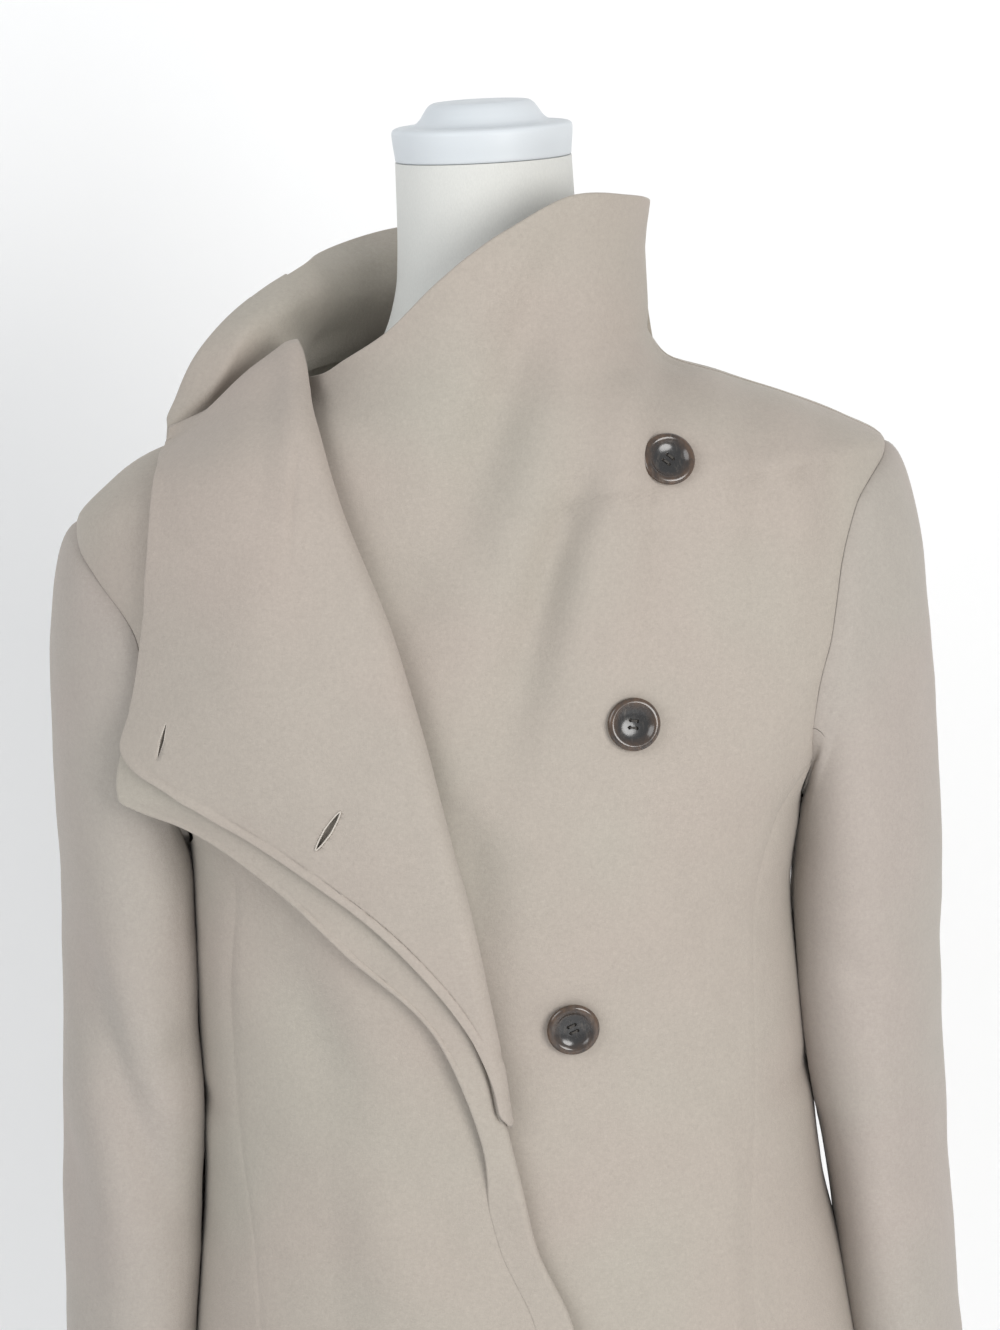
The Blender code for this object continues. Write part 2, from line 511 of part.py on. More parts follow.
# ---------------------------------------------------------------- back collar
def back_collar(heights, cols):
    """Rows of the back collar; its end on the viewer's left follows the spread collar's end column."""
    a, b = 90 + 0.8, 270 - 0.9   # clear of the left front's collar and of the spread collar
    t = np.linspace(a, b, cols)
    low = ring_point(t, np.full(cols, NECK_Z)) + np.array([0, 0, NECK_STEP])
    top = np.stack([curve(BACK_COLLAR, t, k) for k in (1, 2, 3)], -1)
    join = np.array([WING[line][-1][1:] for line in ("valley", "turn", "edge")])
    join = np.concatenate([RIGHT[len(ROWS_RIGHT) - 1, :1] + np.array([0, 0, NECK_STEP]), join])
    grid = []
    for k, v in enumerate(heights):
        p = low + (top - low) * v
        out = (p - np.array([-9.5, 0, 0])) * np.array([1, 1, 0])
        out /= np.linalg.norm(out, axis=-1, keepdims=True)
        dip = 3.5 * math.sin(math.pi * v) + RIM_ROLL * float(curve(RIM, v)) * smooth(150, 215, t)
        p = p - out * dip[:, None]   # the wall stands in and rolls out at the rim
        pull = smooth(225, 268, t)[:, None]
        ahead = np.array([0, 1.3, 0])                  # seam gap to the spread collar
        grid.append(p + (join[k] + ahead - p) * pull)
    return np.array(grid)


wall("coat_collar_back", back_collar((0, 0.45, 0.8, 1), 17), "wool")


# ---------------------------------------------------------------- sleeves
def armhole(side):
    """Edge points of the armhole, the panels' own: shoulder point, down the back, underarm, up the front."""
    col = 1 if side > 0 else 2
    rows = ROWS_ARM[::-1] + [UNDERARM_Z]
    back = [(float(curve(ARM_BACK, z)), z) for z in rows[:-1]] + [(ARM_BACK[0][1], UNDERARM_Z)]
    u = np.linspace(0, 1, SIDE_COLS)
    angles = ARM_UNDER[0][0] + (ARM_UNDER[-1][0] - ARM_UNDER[0][0]) * u
    under = [(float(t), float(curve(ARM_UNDER, t))) for t in angles[::-1][1:-1]]
    front = [(float(curve(ARM_FRONT, z, col)), z) for z in rows[::-1]]
    loop = np.array(back + under + front[:-1])
    p = ring_point(side * loop[:, 0], loop[:, 1])
    n = ring_normal(p)
    d = np.roll(p, -1, 0) - np.roll(p, 1, 0)
    c = np.cross(d, n)
    c /= np.linalg.norm(c, axis=-1, keepdims=True)
    if np.sum((p.mean(0) - p) * c) < 0:
        c = -c
    return p, n, c


def clear_of_body(p, gap):
    """Points moved out along the body's normal to at least gap from it."""
    for _ in range(4):
        g = np.stack([ring_level(p + h) - ring_level(p - h) for h in np.eye(3) * 0.6], -1) / 1.2
        size = np.linalg.norm(g, axis=-1)
        away = np.maximum(0, gap - (ring_level(p) - 1) / size)
        p = p + g / size[..., None] * away[..., None]
    return p


def sleeve(side, cap_rows, rings_z):
    """Grid of rings from the armhole to the cuff; column 0 at the shoulder, then round the back."""
    table = SLEEVE_RIGHT if side > 0 else SLEEVE_LEFT
    p, n, c = armhole(side)
    count = len(p)
    # angle round the sleeve: by length along the armhole, which is nearly even
    seg = np.linalg.norm(np.roll(p, -1, 0) - p, axis=-1)
    a = 2 * math.pi * np.concatenate([[0], np.cumsum(seg)[:-1]]) / seg.sum()

    def level(z):
        lookup = table[::-1]
        xo, xi, yf, yb = (curve(lookup, np.float64(z), k) for k in (1, 2, 3, 4))
        ca, sa = np.cos(a), np.sin(a)
        q = 2 / CUFF_SQUARE
        x = (xo + xi) / 2 + (xo - xi) / 2 * np.sign(ca) * np.abs(ca) ** q
        y = (yf + yb) / 2 + (yb - yf) / 2 * np.sign(sa) * np.abs(sa) ** q
        x = x + side * SLEEVE_TURN * (y - (yb + yf) / 2)
        return clear_of_body(np.stack([x, y, np.full(count, float(z))], -1), SLEEVE_CLEAR)

    top = level(table[0][0])
    low = smooth(0.35, 0.9, -np.cos(a))[:, None]
    start = p + c * (SLEEVE_SEAM + 1.7 * low)
    high = smooth(0.2, 1, np.cos(a))[:, None]   # the sleeve head stands out squarely
    lead = (0.55 - 0.17 * high) * c + (0.25 + 0.12 * high) * n + (0.6 + 0.25 * high) * np.array([side, 0, 0])
    lead = lead * (1 - low) + (0.35 * c + n) * low
    lead /= np.linalg.norm(lead, axis=-1, keepdims=True)
    gap = np.linalg.norm(top - start, axis=-1, keepdims=True)
    p1 = start + lead * (np.minimum(0.30 * gap, 17 + 4 * high) * (1 - low) + 9 * low)
    p2 = top + np.array([0, 0, 1.0]) * gap * 0.52
    rows = []
    for v in np.linspace(0, 1, cap_rows):
        p = (1 - v) ** 3 * start + 3 * v * (1 - v) ** 2 * p1 + 3 * v * v * (1 - v) * p2 + v ** 3 * top
        rows.append(clear_of_body(p, SLEEVE_CLEAR) if v > 0.4 else p)
    rows += [level(z) for z in rings_z]
    return np.array(rows)


UNDER = range(len(ROWS_ARM) - 1, len(ROWS_ARM) + SIDE_COLS + 1)   # columns of the under sleeve
for side, name in ((1, "sleeve_left"), (-1, "sleeve_right")):
    g = sleeve(side, 9, [1068, 1029, 990, 940, 890, 840, 785, 730])
    closed = np.concatenate([g, g[:, :1]], 1)
    n = normals_of(closed)
    m = n[:, 0] + n[:, -1]
    n[:, 0] = n[:, -1] = m / np.linalg.norm(m, axis=-1, keepdims=True)
    n = n[:, :-1]
    # both halves share the seam columns, each pulled back along the same line, with end faces square to it
    def part_of(cols, pull):
        q, w = g[:, cols].copy(), n[:, cols].copy()
        for e, ways in ((0, 1), (-1, -1)):
            d = g[:, (cols[e] + 1) % len(g[0])] - g[:, cols[e] - 1]
            d /= np.linalg.norm(d, axis=-1, keepdims=True)
            q[:, e] += d * pull * ways
            w[:, e] -= np.sum(w[:, e] * d, -1, keepdims=True) * d
            w[:, e] /= np.linalg.norm(w[:, e], axis=-1, keepdims=True)
        return q, w
    under = list(UNDER)
    upper = [k % len(g[0]) for k in range(under[-1], under[0] + len(g[0]) + 1)]
    for tag, cols in (("upper", upper), ("under", under)):
        q, w = part_of(cols, SEAM_GAP)
        wall("%s_%s" % (name, tag), q, "wool_sleeve", w)


# ---------------------------------------------------------------- buttons
for k, (x, z) in enumerate(BUTTONS):
    zu = float(z - sag(x, z))
    t = angle_at(x, zu)
    p = ring_point(t, zu)
    n = ring_normal(p)
    seat = p + n * (CLOTH / 2 + BUTTON_SHANK)
    ob = turned("button_%d" % (k + 1), BUTTON, "horn", 26, seat, n)
    for i, (u, v) in enumerate(((1, 0), (0, 1), (-1, 0), (0, -1))):
        bm = bmesh.new()
        bmesh.ops.create_cone(bm, cap_ends=True, segments=10, radius1=0.00115, radius2=0.00115, depth=0.012)
        cut = place("button_%d_hole_%d" % (k + 1, i + 1), bm, "horn")
        cut.matrix_world = ob.matrix_world @ Matrix.Translation((u * 0.0031, v * 0.0031, 0.002))
        cut.hide_render = True
        cut.display_type = "WIRE"
        mod = ob.modifiers.new("hole_%d" % (i + 1), "BOOLEAN")
        mod.object = cut


# ---------------------------------------------------------------- dress form and stand
def form_grid(count):
    rows = []
    for z, a, bf, bb in FORM:
        w = 2 * math.pi * np.arange(count) / count
        s, c = np.sin(w), np.cos(w)
        # torso centred under the coat, the neck about its own axis
        k = float(smooth(1180, 1390, z))
        x = a * s + (-9.0) * (1 - k)
        y = FORM_CLEAR_AXIS_Y * k - np.where(c > 0, bf, bb) * c
        tilt = SHOULDER_DROP * 0.6 * float(smooth(1150, 1290, z) * (1 - smooth(1340, 1400, z)))
        rows.append(np.stack([x, y, z + tilt * (x + 10)], -1))
    return np.array(rows)


def solid(name, rows, mat):
    bm = bmesh.new()
    rings = [[bm.verts.new(Vector(q * 0.001)) for q in r] for r in rows]
    n = len(rings[0])
    for lo, hi in zip(rings, rings[1:]):
        for k in range(n):
            m = (k + 1) % n
            bm.faces.new([lo[k], lo[m], hi[m]])
            bm.faces.new([lo[k], hi[m], hi[k]])
    bm.faces.new(list(reversed(rings[0])))
    bm.faces.new(rings[-1])
    if bm.calc_volume(signed=True) < 0:
        bmesh.ops.reverse_faces(bm, faces=bm.faces)
    return place(name, bm, mat)


solid("form_body", form_grid(36), "form")
turned("neck_cap", CAP, "cap", 36, (0, FORM_CLEAR_AXIS_Y, 0))
turned("stand_pole", [(0, BASE_T + 0.3), (POLE_R, BASE_T + 0.3), (POLE_R, 759.7), (0, 759.7)], "steel", 32, (0, FORM_CLEAR_AXIS_Y, 0))
turned("stand_base", BASE, "form", 48, (0, FORM_CLEAR_AXIS_Y, 0))
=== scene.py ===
# Asymmetric wool coat on a limbless dress form: the looks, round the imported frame.
# Lengths in the tables are millimetres: x to the viewer's right, the coat's front faces -y, z up from the floor.
import json
import math

import bmesh
import bpy
import numpy as np
from mathutils import Matrix, Vector


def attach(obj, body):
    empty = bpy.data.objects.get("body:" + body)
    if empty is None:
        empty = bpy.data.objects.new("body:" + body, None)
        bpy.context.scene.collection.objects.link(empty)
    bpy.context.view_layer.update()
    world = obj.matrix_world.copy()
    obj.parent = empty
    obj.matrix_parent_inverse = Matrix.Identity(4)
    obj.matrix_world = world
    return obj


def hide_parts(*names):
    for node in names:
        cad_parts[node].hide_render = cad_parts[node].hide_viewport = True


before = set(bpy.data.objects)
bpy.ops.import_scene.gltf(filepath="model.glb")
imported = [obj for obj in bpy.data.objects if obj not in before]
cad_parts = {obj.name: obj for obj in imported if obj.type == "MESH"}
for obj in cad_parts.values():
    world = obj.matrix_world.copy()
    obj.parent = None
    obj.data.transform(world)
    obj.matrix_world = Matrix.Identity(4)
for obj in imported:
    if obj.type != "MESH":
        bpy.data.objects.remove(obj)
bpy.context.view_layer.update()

# ---------------------------------------------------------------- driving sizes (mm)
CLOTH = 2.4             # thickness of the felted wool
SEAM_GAP = 0.35         # clearance between two sewn pieces
HEM_Z = 520.0           # hem above the floor
UNDERARM_Z = 1153.0     # where the side-front seam meets the armhole
SHOULDER_Z = 1308.5     # shoulder point, before the shoulder drop
NECK_Z = 1376.0         # neck seam
COLLAR_TOP_Z = 1450.0   # top corner of the standing collar
LEFT_SHOULDER = 6.5     # rise of the shoulder line on the viewer's left, halfway to the shoulder point
SHOULDER_DROP = 0.048   # the worn coat hangs lower on the viewer's left, by this slope
FAN_Z = 1290.0          # above this height the left front's rows fan out toward its collar edge
LAP = 5.0               # how far the right front stands off the left front that it covers
FACING_GAP = 1.1        # space between the lapel and its facing
RIM_ROLL = 8.0          # the back collar's rim rolls out by this much on the viewer's left
NECK_STEP = 1.5         # the back collar starts this far above the neck edge
SLEEVE_SEAM = 1.5       # the sleeve starts this far outside the armhole edge
BUTTON_SHANK = 1.2       # a button stands this far off the cloth on its thread
FORM_CLEAR_AXIS_Y = 10.0  # neck, pole and base share this axis
POLE_R = 15.0
BASE_R = 170.0
BASE_T = 22.0

# ---------------------------------------------------------------- tables
# coat rings: height, half width, depth to the front, depth to the back, squareness
RING = [
    (520, 217, 148, 144, 2.2), (640, 204, 140, 136, 2.2), (760, 191, 131, 128, 2.2), (835, 181.5, 125, 120, 2.2),
    (880, 175.5, 121, 114.5, 2.2), (921, 169.5, 116.5, 107, 2.2), (975, 166.4, 112.5, 95, 2.23), (1000, 165.5, 112, 90.5, 2.25),
    (1029, 164.6, 115.5, 91, 2.28), (1081, 162.7, 124.5, 97, 2.33), (1125, 166.5, 127.5, 104, 2.38),
    (1157, 184.2, 125.5, 107.5, 2.4), (1189.5, 201.8, 122, 111, 2.4), (1221.5, 214.2, 117.5, 112, 2.4),
    (1277.5, 218.4, 108, 109, 2.3), (1308.5, 216.5, 101.5, 105, 2.2), (1322.5, 197, 98.5, 101, 2.15),
    (1338.5, 165, 96, 96.5, 2.1), (1352, 133, 93.5, 92, 2.1), (1365.5, 102, 91.5, 86, 2.1), (1373, 96, 90, 82, 2.1),
    (1383, 91.5, 88, 79.5, 2.1), (1396.5, 92, 86, 78, 2.1), (1424, 92.3, 84, 77, 2.1), (1450, 96.3, 84, 77.5, 2.1),
    (1463, 98, 84, 78, 2.1),
]
# ring centre: height, x
CENTRE = [(520, -11), (835, -11.8), (975, -13.9), (1081, -16), (1125, -12.1), (1308.5, -9.6), (1463, -9.5)]
# side-front seam: height, angle on the viewer's right, angle on the viewer's left
SEAM_FRONT = [(520, 36, 42), (856, 42.6, 50), (992, 51.8, 58.5), (1045, 54, 58.1), (1110, 58, 54), (1153, 66.5, 66.5)]
# side-back seam: height, angle
SEAM_BACK = [(520, 132), (866, 128), (1000, 124), (1090, 122), (1153, 116)]
# front of the armhole: height, angle right, angle left
ARM_FRONT = [(1153, 66.5, 66.5), (1173, 58.5, 58.5), (1194, 55, 55), (1206, 54.2, 54.2), (1247, 56, 56.1), (1283, 62.6, 69.5),
             (1297, 72, 79), (1308.5, 90, 90)]
# back of the armhole: height, angle
ARM_BACK = [(1153, 116), (1173, 120), (1194, 121), (1236, 120), (1277, 112), (1296, 102), (1308.5, 90)]
# bottom of the armhole: angle, height
ARM_UNDER = [(66.5, 1153), (78, 1132), (90, 1125), (103, 1131), (116, 1153)]
# top edge of the left front's funnel collar: angle, height
COLLAR_EDGE = [(-90, 1374), (-72, 1376.5), (-61, 1379), (-50, 1385.5), (-30, 1399.5), (-9.65, 1425.5), (9.3, 1447),
               (35.3, 1462), (60, 1457), (90, 1450)]
# hidden front edge of the left front, under the right one: height, angle
UNDERLAP = [(520, -11), (1000, -14.3), (1100, -18.6), (1200, -21), (1290, -28), (1330, -45), (1370, -70)]
# roll line and, below z 978, closed front edge: height, x
ROLL = [(520, 24), (760, 21), (850, 17), (871.5, 13.5), (914, -3), (951, -10), (978, -15), (999, -17.5), (1083.6, -28.5),
        (1168.6, -46.5), (1243, -64), (1312.6, -87.5), (1345, -97), (1377.5, -105.5), (1395, -108)]
# roundness of the roll: height, radius
ROLL_R = [(520, 1.9), (900, 1.9), (978, 2.6), (1065, 4.2), (1195, 5.5), (1312, 6), (1385, 5)]
# the rows rise toward the top of the roll: height, rise
RISE = [(1331, 0), (1352, 2.5), (1365.5, 7), (1376, 14)]
# outer edge of the turned-back lapel: row height on the body, x, y, z, belly of the row toward the viewer
LAPEL = [
    (880, 4.5, -130, 880, 0), (915, -13.5, -126.5, 913, 0), (951, -23, -124, 946, 0), (978, -30, -123, 980, 0.5),
    (1015, -50, -127, 1034, 0.5), (1065, -92, -129, 1078, 2), (1110, -131, -114, 1115, 6), (1155, -176, -94, 1145, 9),
    (1172, -202, -84, 1154.5, 11.5), (1184, -210, -81, 1159, 12.5), (1195, -211, -79.5, 1166, 13.5), (1223, -205.5, -78, 1190, 16),
    (1240, -200.5, -78, 1204, 18), (1284, -190.8, -78, 1250, 17), (1309, -185.2, -79, 1290, 15), (1323, -183, -75, 1309, 14),
    (1338.5, -181, -66, 1324, 13), (1352, -179.3, -54, 1334, 11), (1365.5, -178, -43, 1341, 8), (1376, -177.3, -35, 1345.5, 4),
]
# spread collar above the lapel: share of the row (0 left edge, PEAK_U at the roll, 1 at the side neck), then x, y, z
PEAK_U = 0.62
WING = {
    "valley": [(0, -176, -24, 1349.5), (0.22, -158, -20, 1353.5), (0.44, -136, -13, 1366.5), (0.62, -113, -9, 1396),
               (0.8, -106, 1, 1395), (1, -102, 7.5, 1394)],
    "turn": [(0, -175, -17, 1354), (0.22, -152, -19, 1369.5), (0.44, -132, -15, 1394), (0.62, -121, -8, 1402.5),
             (0.8, -110, -1, 1407.5), (1, -102, 7, 1410)],
    "edge": [(0, -171.5, -12, 1360), (0.22, -160.5, -8, 1382), (0.44, -144.5, -2, 1404), (0.62, -133, 6, 1413.5),
             (0.8, -122, 13, 1419.5), (1, -113, 19, 1423.5)],
}
# how the back collar stands in below its rolled rim: share of the height, share of RIM_ROLL
RIM = [(0, 0), (0.45, 0.6), (0.8, 1), (1, 0)]
# top edge of the back collar: angle, x, y, z
BACK_COLLAR = [(90, 86.8, 0, 1454.9), (120, 76, 48, 1452), (150, 39.5, 77, 1447), (180, -9, 88, 1443), (205, -50, 80, 1440),
               (225, -80, 65, 1434), (250, -103, 41, 1427), (270, -113, 19, 1423.5)]
# sleeves, the arm hanging empty: height, outer x, inner x, front y, back y
SLEEVE_RIGHT = [(1103, 230.5, 150, -60, 76), (1068, 229.5, 146, -57, 76), (1038, 226.7, 146, -55, 76),
                (990, 226.5, 149, -51, 76), (966, 227, 153.5, -49, 76), (950, 227.4, 158.5, -48, 76), (920, 228, 163, -45, 76),
                (892, 228.7, 166, -43, 76), (843, 230, 168, -41, 76), (785, 233.5, 174, -38, 75), (730, 238, 180, -36, 74)]
SLEEVE_LEFT = [(1103, -251, -176, -60, 76), (1068, -252.5, -176, -57, 76), (1038, -254, -177, -55, 76),
               (990, -257, -178, -51, 76), (940, -260, -180, -46, 76), (902, -262, -184, -44, 76),
               (843, -265.3, -190, -41, 76), (785, -269, -197, -38, 75), (730, -273, -204, -36, 74)]
SLEEVE_TURN = 0.12      # the sleeve's front turns in toward the body by this slope
SLEEVE_CLEAR = 3.1      # least distance between the middles of the sleeve's and the body's walls
CUFF_SQUARE = 2.2
# dress form: height, half width, depth to the front, depth to the back
FORM = [(760, 126, 76, 76), (766, 146, 90, 90), (800, 156, 96, 98), (880, 152, 96, 98), (940, 140, 88, 86),
        (1000, 130, 84, 72), (1060, 134, 94, 76), (1110, 144, 104, 84), (1165, 160, 98, 88), (1230, 184, 89, 90),
        (1280, 193, 80, 85), (1300, 191, 74, 80), (1315, 180, 69.5, 74), (1329, 158, 66, 69), (1342, 129, 62, 63),
        (1355, 99, 57, 57), (1366, 79, 53, 52), (1377, 66.5, 50, 49.5), (1389, 58.5, 48.5, 48.5), (1403, 53.2, 48, 48.2),
        (1419, 49.8, 47.8, 48), (1445, 48.2, 47.6, 47.8), (1480.7, 47.4, 47.4, 47.4)]
# turned cap on the neck: radius, height
CAP = [(0, 1481), (46.6, 1481), (47.2, 1481.6), (47.6, 1485), (48.4, 1492), (48.6, 1496), (47.9, 1498), (45.5, 1499),
       (38.5, 1499.6), (35.4, 1500.8), (33, 1503), (30.6, 1506.6), (28.3, 1509.6), (25.5, 1511.2), (21, 1511.6), (0, 1511.6)]
# base, a shallow turned disc: radius, height
BASE = [(0, 0), (BASE_R - 3, 0), (BASE_R, 3), (BASE_R, 9), (BASE_R - 4, 13), (BASE_R - 40, 17), (60, BASE_T - 2),
        (24, BASE_T), (0, BASE_T)]
# button, in its own frame: radius, height (rim, dish)
BUTTON = [(0, 0), (11.5, 0), (13.4, 0.9), (14, 2.1), (13.6, 3.4), (12.4, 4.2), (10.8, 4.1), (9.2, 3.0), (7.2, 2.5), (0, 2.5)]
# buttons: x, z on the left front
BUTTONS = [(87, 1324.5), (61.8, 1192), (22.6, 1031.3)]
# outer edge of the facing on the turned-back lapel: height, x
FACING_EDGE = [(970, -15), (980.7, -18), (998, -20.5), (1016, -24), (1050.9, -41), (1097.6, -80.8), (1129.6, -122.6), (1148.7, -152),
               (1164, -179), (1175, -198.2), (1179, -214), (1345, -214)]
# buttonholes in the facing: x, z of one end, x, z of the other
BUTTONHOLES = [(-187.2, 1182.6, -179.8, 1202.2), (-106, 1137, -91, 1157)]
HOLE_W = 2.2


# ---------------------------------------------------------------- curves
def curve(table, q, col=1):
    """Smooth curve through a table's first column and column col, with no overshoot."""
    xs = np.array([r[0] for r in table], float)
    ys = np.array([r[col] for r in table], float)
    q = np.clip(np.asarray(q, float), xs[0], xs[-1])
    h = np.diff(xs)
    d = np.diff(ys) / h
    m = np.zeros(len(xs))
    m[0], m[-1] = d[0], d[-1]
    for k in range(1, len(xs) - 1):
        if d[k - 1] * d[k] > 0:
            w1, w2 = 2 * h[k] + h[k - 1], h[k] + 2 * h[k - 1]
            m[k] = (w1 + w2) / (w1 / d[k - 1] + w2 / d[k])
    i = np.clip(np.searchsorted(xs, q, side="right") - 1, 0, len(xs) - 2)
    t = (q - xs[i]) / h[i]
    return ((1 + 2 * t) * (1 - t) ** 2 * ys[i] + t * (1 - t) ** 2 * h[i] * m[i]
            + t * t * (3 - 2 * t) * ys[i + 1] + t * t * (t - 1) * h[i] * m[i + 1])


def smooth(a, b, q):
    t = np.clip((np.asarray(q, float) - a) / (b - a), 0, 1)
    return t * t * (3 - 2 * t)


def sag(x, zu):
    """How far the worn coat's rings are raised: the shoulder drop, and a fuller shoulder line on the viewer's left."""
    slope = SHOULDER_DROP * np.clip((np.asarray(zu, float) - 1040) / 250, 0, 1)
    full = LEFT_SHOULDER * np.exp(-((np.asarray(x, float) + 190) / 28) ** 2) * smooth(1285, 1325, zu)
    return slope * (x + 10) + full


# ---------------------------------------------------------------- the coat's body surface
def ring_point(t, zu):
    """Point on the body at angle t (degrees) of the ring at height zu."""
    t = np.radians(np.asarray(t, float))
    zu = np.asarray(zu, float)
    a, bf, bb, n = (curve(RING, zu, k) for k in (1, 2, 3, 4))
    s, c = np.sin(t), np.cos(t)
    x = curve(CENTRE, zu) + a * np.sign(s) * np.abs(s) ** (2 / n)
    y = -np.sign(c) * np.where(c > 0, bf, bb) * np.abs(c) ** (2 / n)
    return np.stack([x, y, zu + sag(x, zu)], -1)


def ring_level(p):
    """Ring function: 1 on the body, more outside it."""
    x, y, z = p[..., 0], p[..., 1], p[..., 2]
    zu = z - sag(x, z)
    zu = z - sag(x, zu)
    a, bf, bb, n = (curve(RING, zu, k) for k in (1, 2, 3, 4))
    return (np.abs((x - curve(CENTRE, zu)) / a) ** n + np.abs(y / np.where(y < 0, bf, bb)) ** n) ** (1 / n)


def ring_normal(p):
    g = np.stack([ring_level(p + h) - ring_level(p - h) for h in np.eye(3) * 0.6], -1)
    return g / np.linalg.norm(g, axis=-1, keepdims=True)


def body(t, zu, off=0.0):
    p = ring_point(t, zu)
    return p + ring_normal(p) * np.asarray(off, float)[..., None]


def angle_at(x, zu):
    """Angle on the front of the ring at height zu where the ring is at x."""
    a, n = curve(RING, zu, 1), curve(RING, zu, 4)
    r = np.clip((x - curve(CENTRE, zu)) / a, -1, 1)
    return np.degrees(np.arcsin(np.sign(r) * np.abs(r) ** (n / 2)))


# ---------------------------------------------------------------- panel edges as angle against height
def edge_front(zu, side):
    """Outer edge of a front panel: side-front seam, armhole, then the shoulder and collar side at 90."""
    col = 1 if side > 0 else 2
    return np.where(zu <= UNDERARM_Z, curve(SEAM_FRONT, zu, col), np.where(zu <= SHOULDER_Z, curve(ARM_FRONT, zu, col), 90.0))


def edge_back(zu):
    return np.where(zu <= UNDERARM_Z, curve(SEAM_BACK, zu), np.where(zu <= SHOULDER_Z, curve(ARM_BACK, zu), 90.0))


def trim(t, zu, ways):
    """Moves an edge by half the seam gap: ways is +1 to open toward larger angles."""
    r = 0.5 * (curve(RING, zu, 1) + curve(RING, zu, 2))
    return t + ways * math.degrees(1) * (SEAM_GAP / 2) / r


# ---------------------------------------------------------------- walls
def normals_of(grid):
    """Vertex normals of a grid of points; missing points are nan."""
    n = np.zeros(grid.shape)
    p = grid
    a = p[1:, 1:] - p[:-1, :-1]
    b = p[1:, :-1] - p[:-1, 1:]
    f = np.cross(a, b)
    f = np.where(np.isnan(f), 0, f)
    n[:-1, :-1] += f
    n[1:, :-1] += f
    n[:-1, 1:] += f
    n[1:, 1:] += f
    return n / np.maximum(np.linalg.norm(n, axis=-1, keepdims=True), 1e-9)


def clear_of_body(p, gap):
    """Points moved out along the body's normal to at least gap from it."""
    for _ in range(4):
        g = np.stack([ring_level(p + h) - ring_level(p - h) for h in np.eye(3) * 0.6], -1) / 1.2
        size = np.linalg.norm(g, axis=-1)
        away = np.maximum(0, gap - (ring_level(p) - 1) / size)
        p = p + g / size[..., None] * away[..., None]
    return p


# ---------------------------------------------------------------- fine walls
SEAM_GAP = 0.1          # sewn edges meet more closely in the looks
FINE = [0, 0.18, 0.55, 1.05, 1.7, 2.8]   # first stations in from an edge


def stations(length, step, a=True, b=True):
    """Shares of a length, close together at its edges."""
    lo = FINE if a else [0.0]
    hi = [length - f for f in (FINE if b else [0.0])][::-1]
    k = max(2, int(round((hi[0] - lo[-1]) / step)))
    return np.array(list(lo[:-1]) + list(np.linspace(lo[-1], hi[0], k + 1)) + hi[1:]) / length


def heights(marks, steps, top=True):
    """Row heights from the first mark to the last, with a step for each stretch."""
    z = [marks[0] + f for f in FINE[:-1]]
    for k, (a, b, s) in enumerate(zip(marks, marks[1:], steps)):
        a = a + FINE[-1] if k == 0 else a
        b = b - FINE[-1] if top and k == len(steps) - 1 else b
        z += list(np.linspace(a, b, max(2, int(round((b - a) / s))) + 1))[:-1]
    if top:
        z += [marks[-1] - f for f in FINE[::-1]]
    else:
        z.append(marks[-1])
    return np.array(z)


def edge_distance(P, butt=()):
    """Distance of each grid point to the nearest open edge, along the cloth."""
    du = np.linalg.norm(np.diff(P, axis=1), axis=-1)
    dv = np.linalg.norm(np.diff(P, axis=0), axis=-1)
    left = np.concatenate([np.zeros((len(P), 1)), np.cumsum(du, 1)], 1)
    low = np.concatenate([np.zeros((1, P.shape[1])), np.cumsum(dv, 0)], 0)
    ways = {"left": left, "right": left[:, -1:] - left, "low": low, "top": low[-1:] - low}
    return ways, np.minimum.reduce([v for k, v in ways.items() if k not in butt])


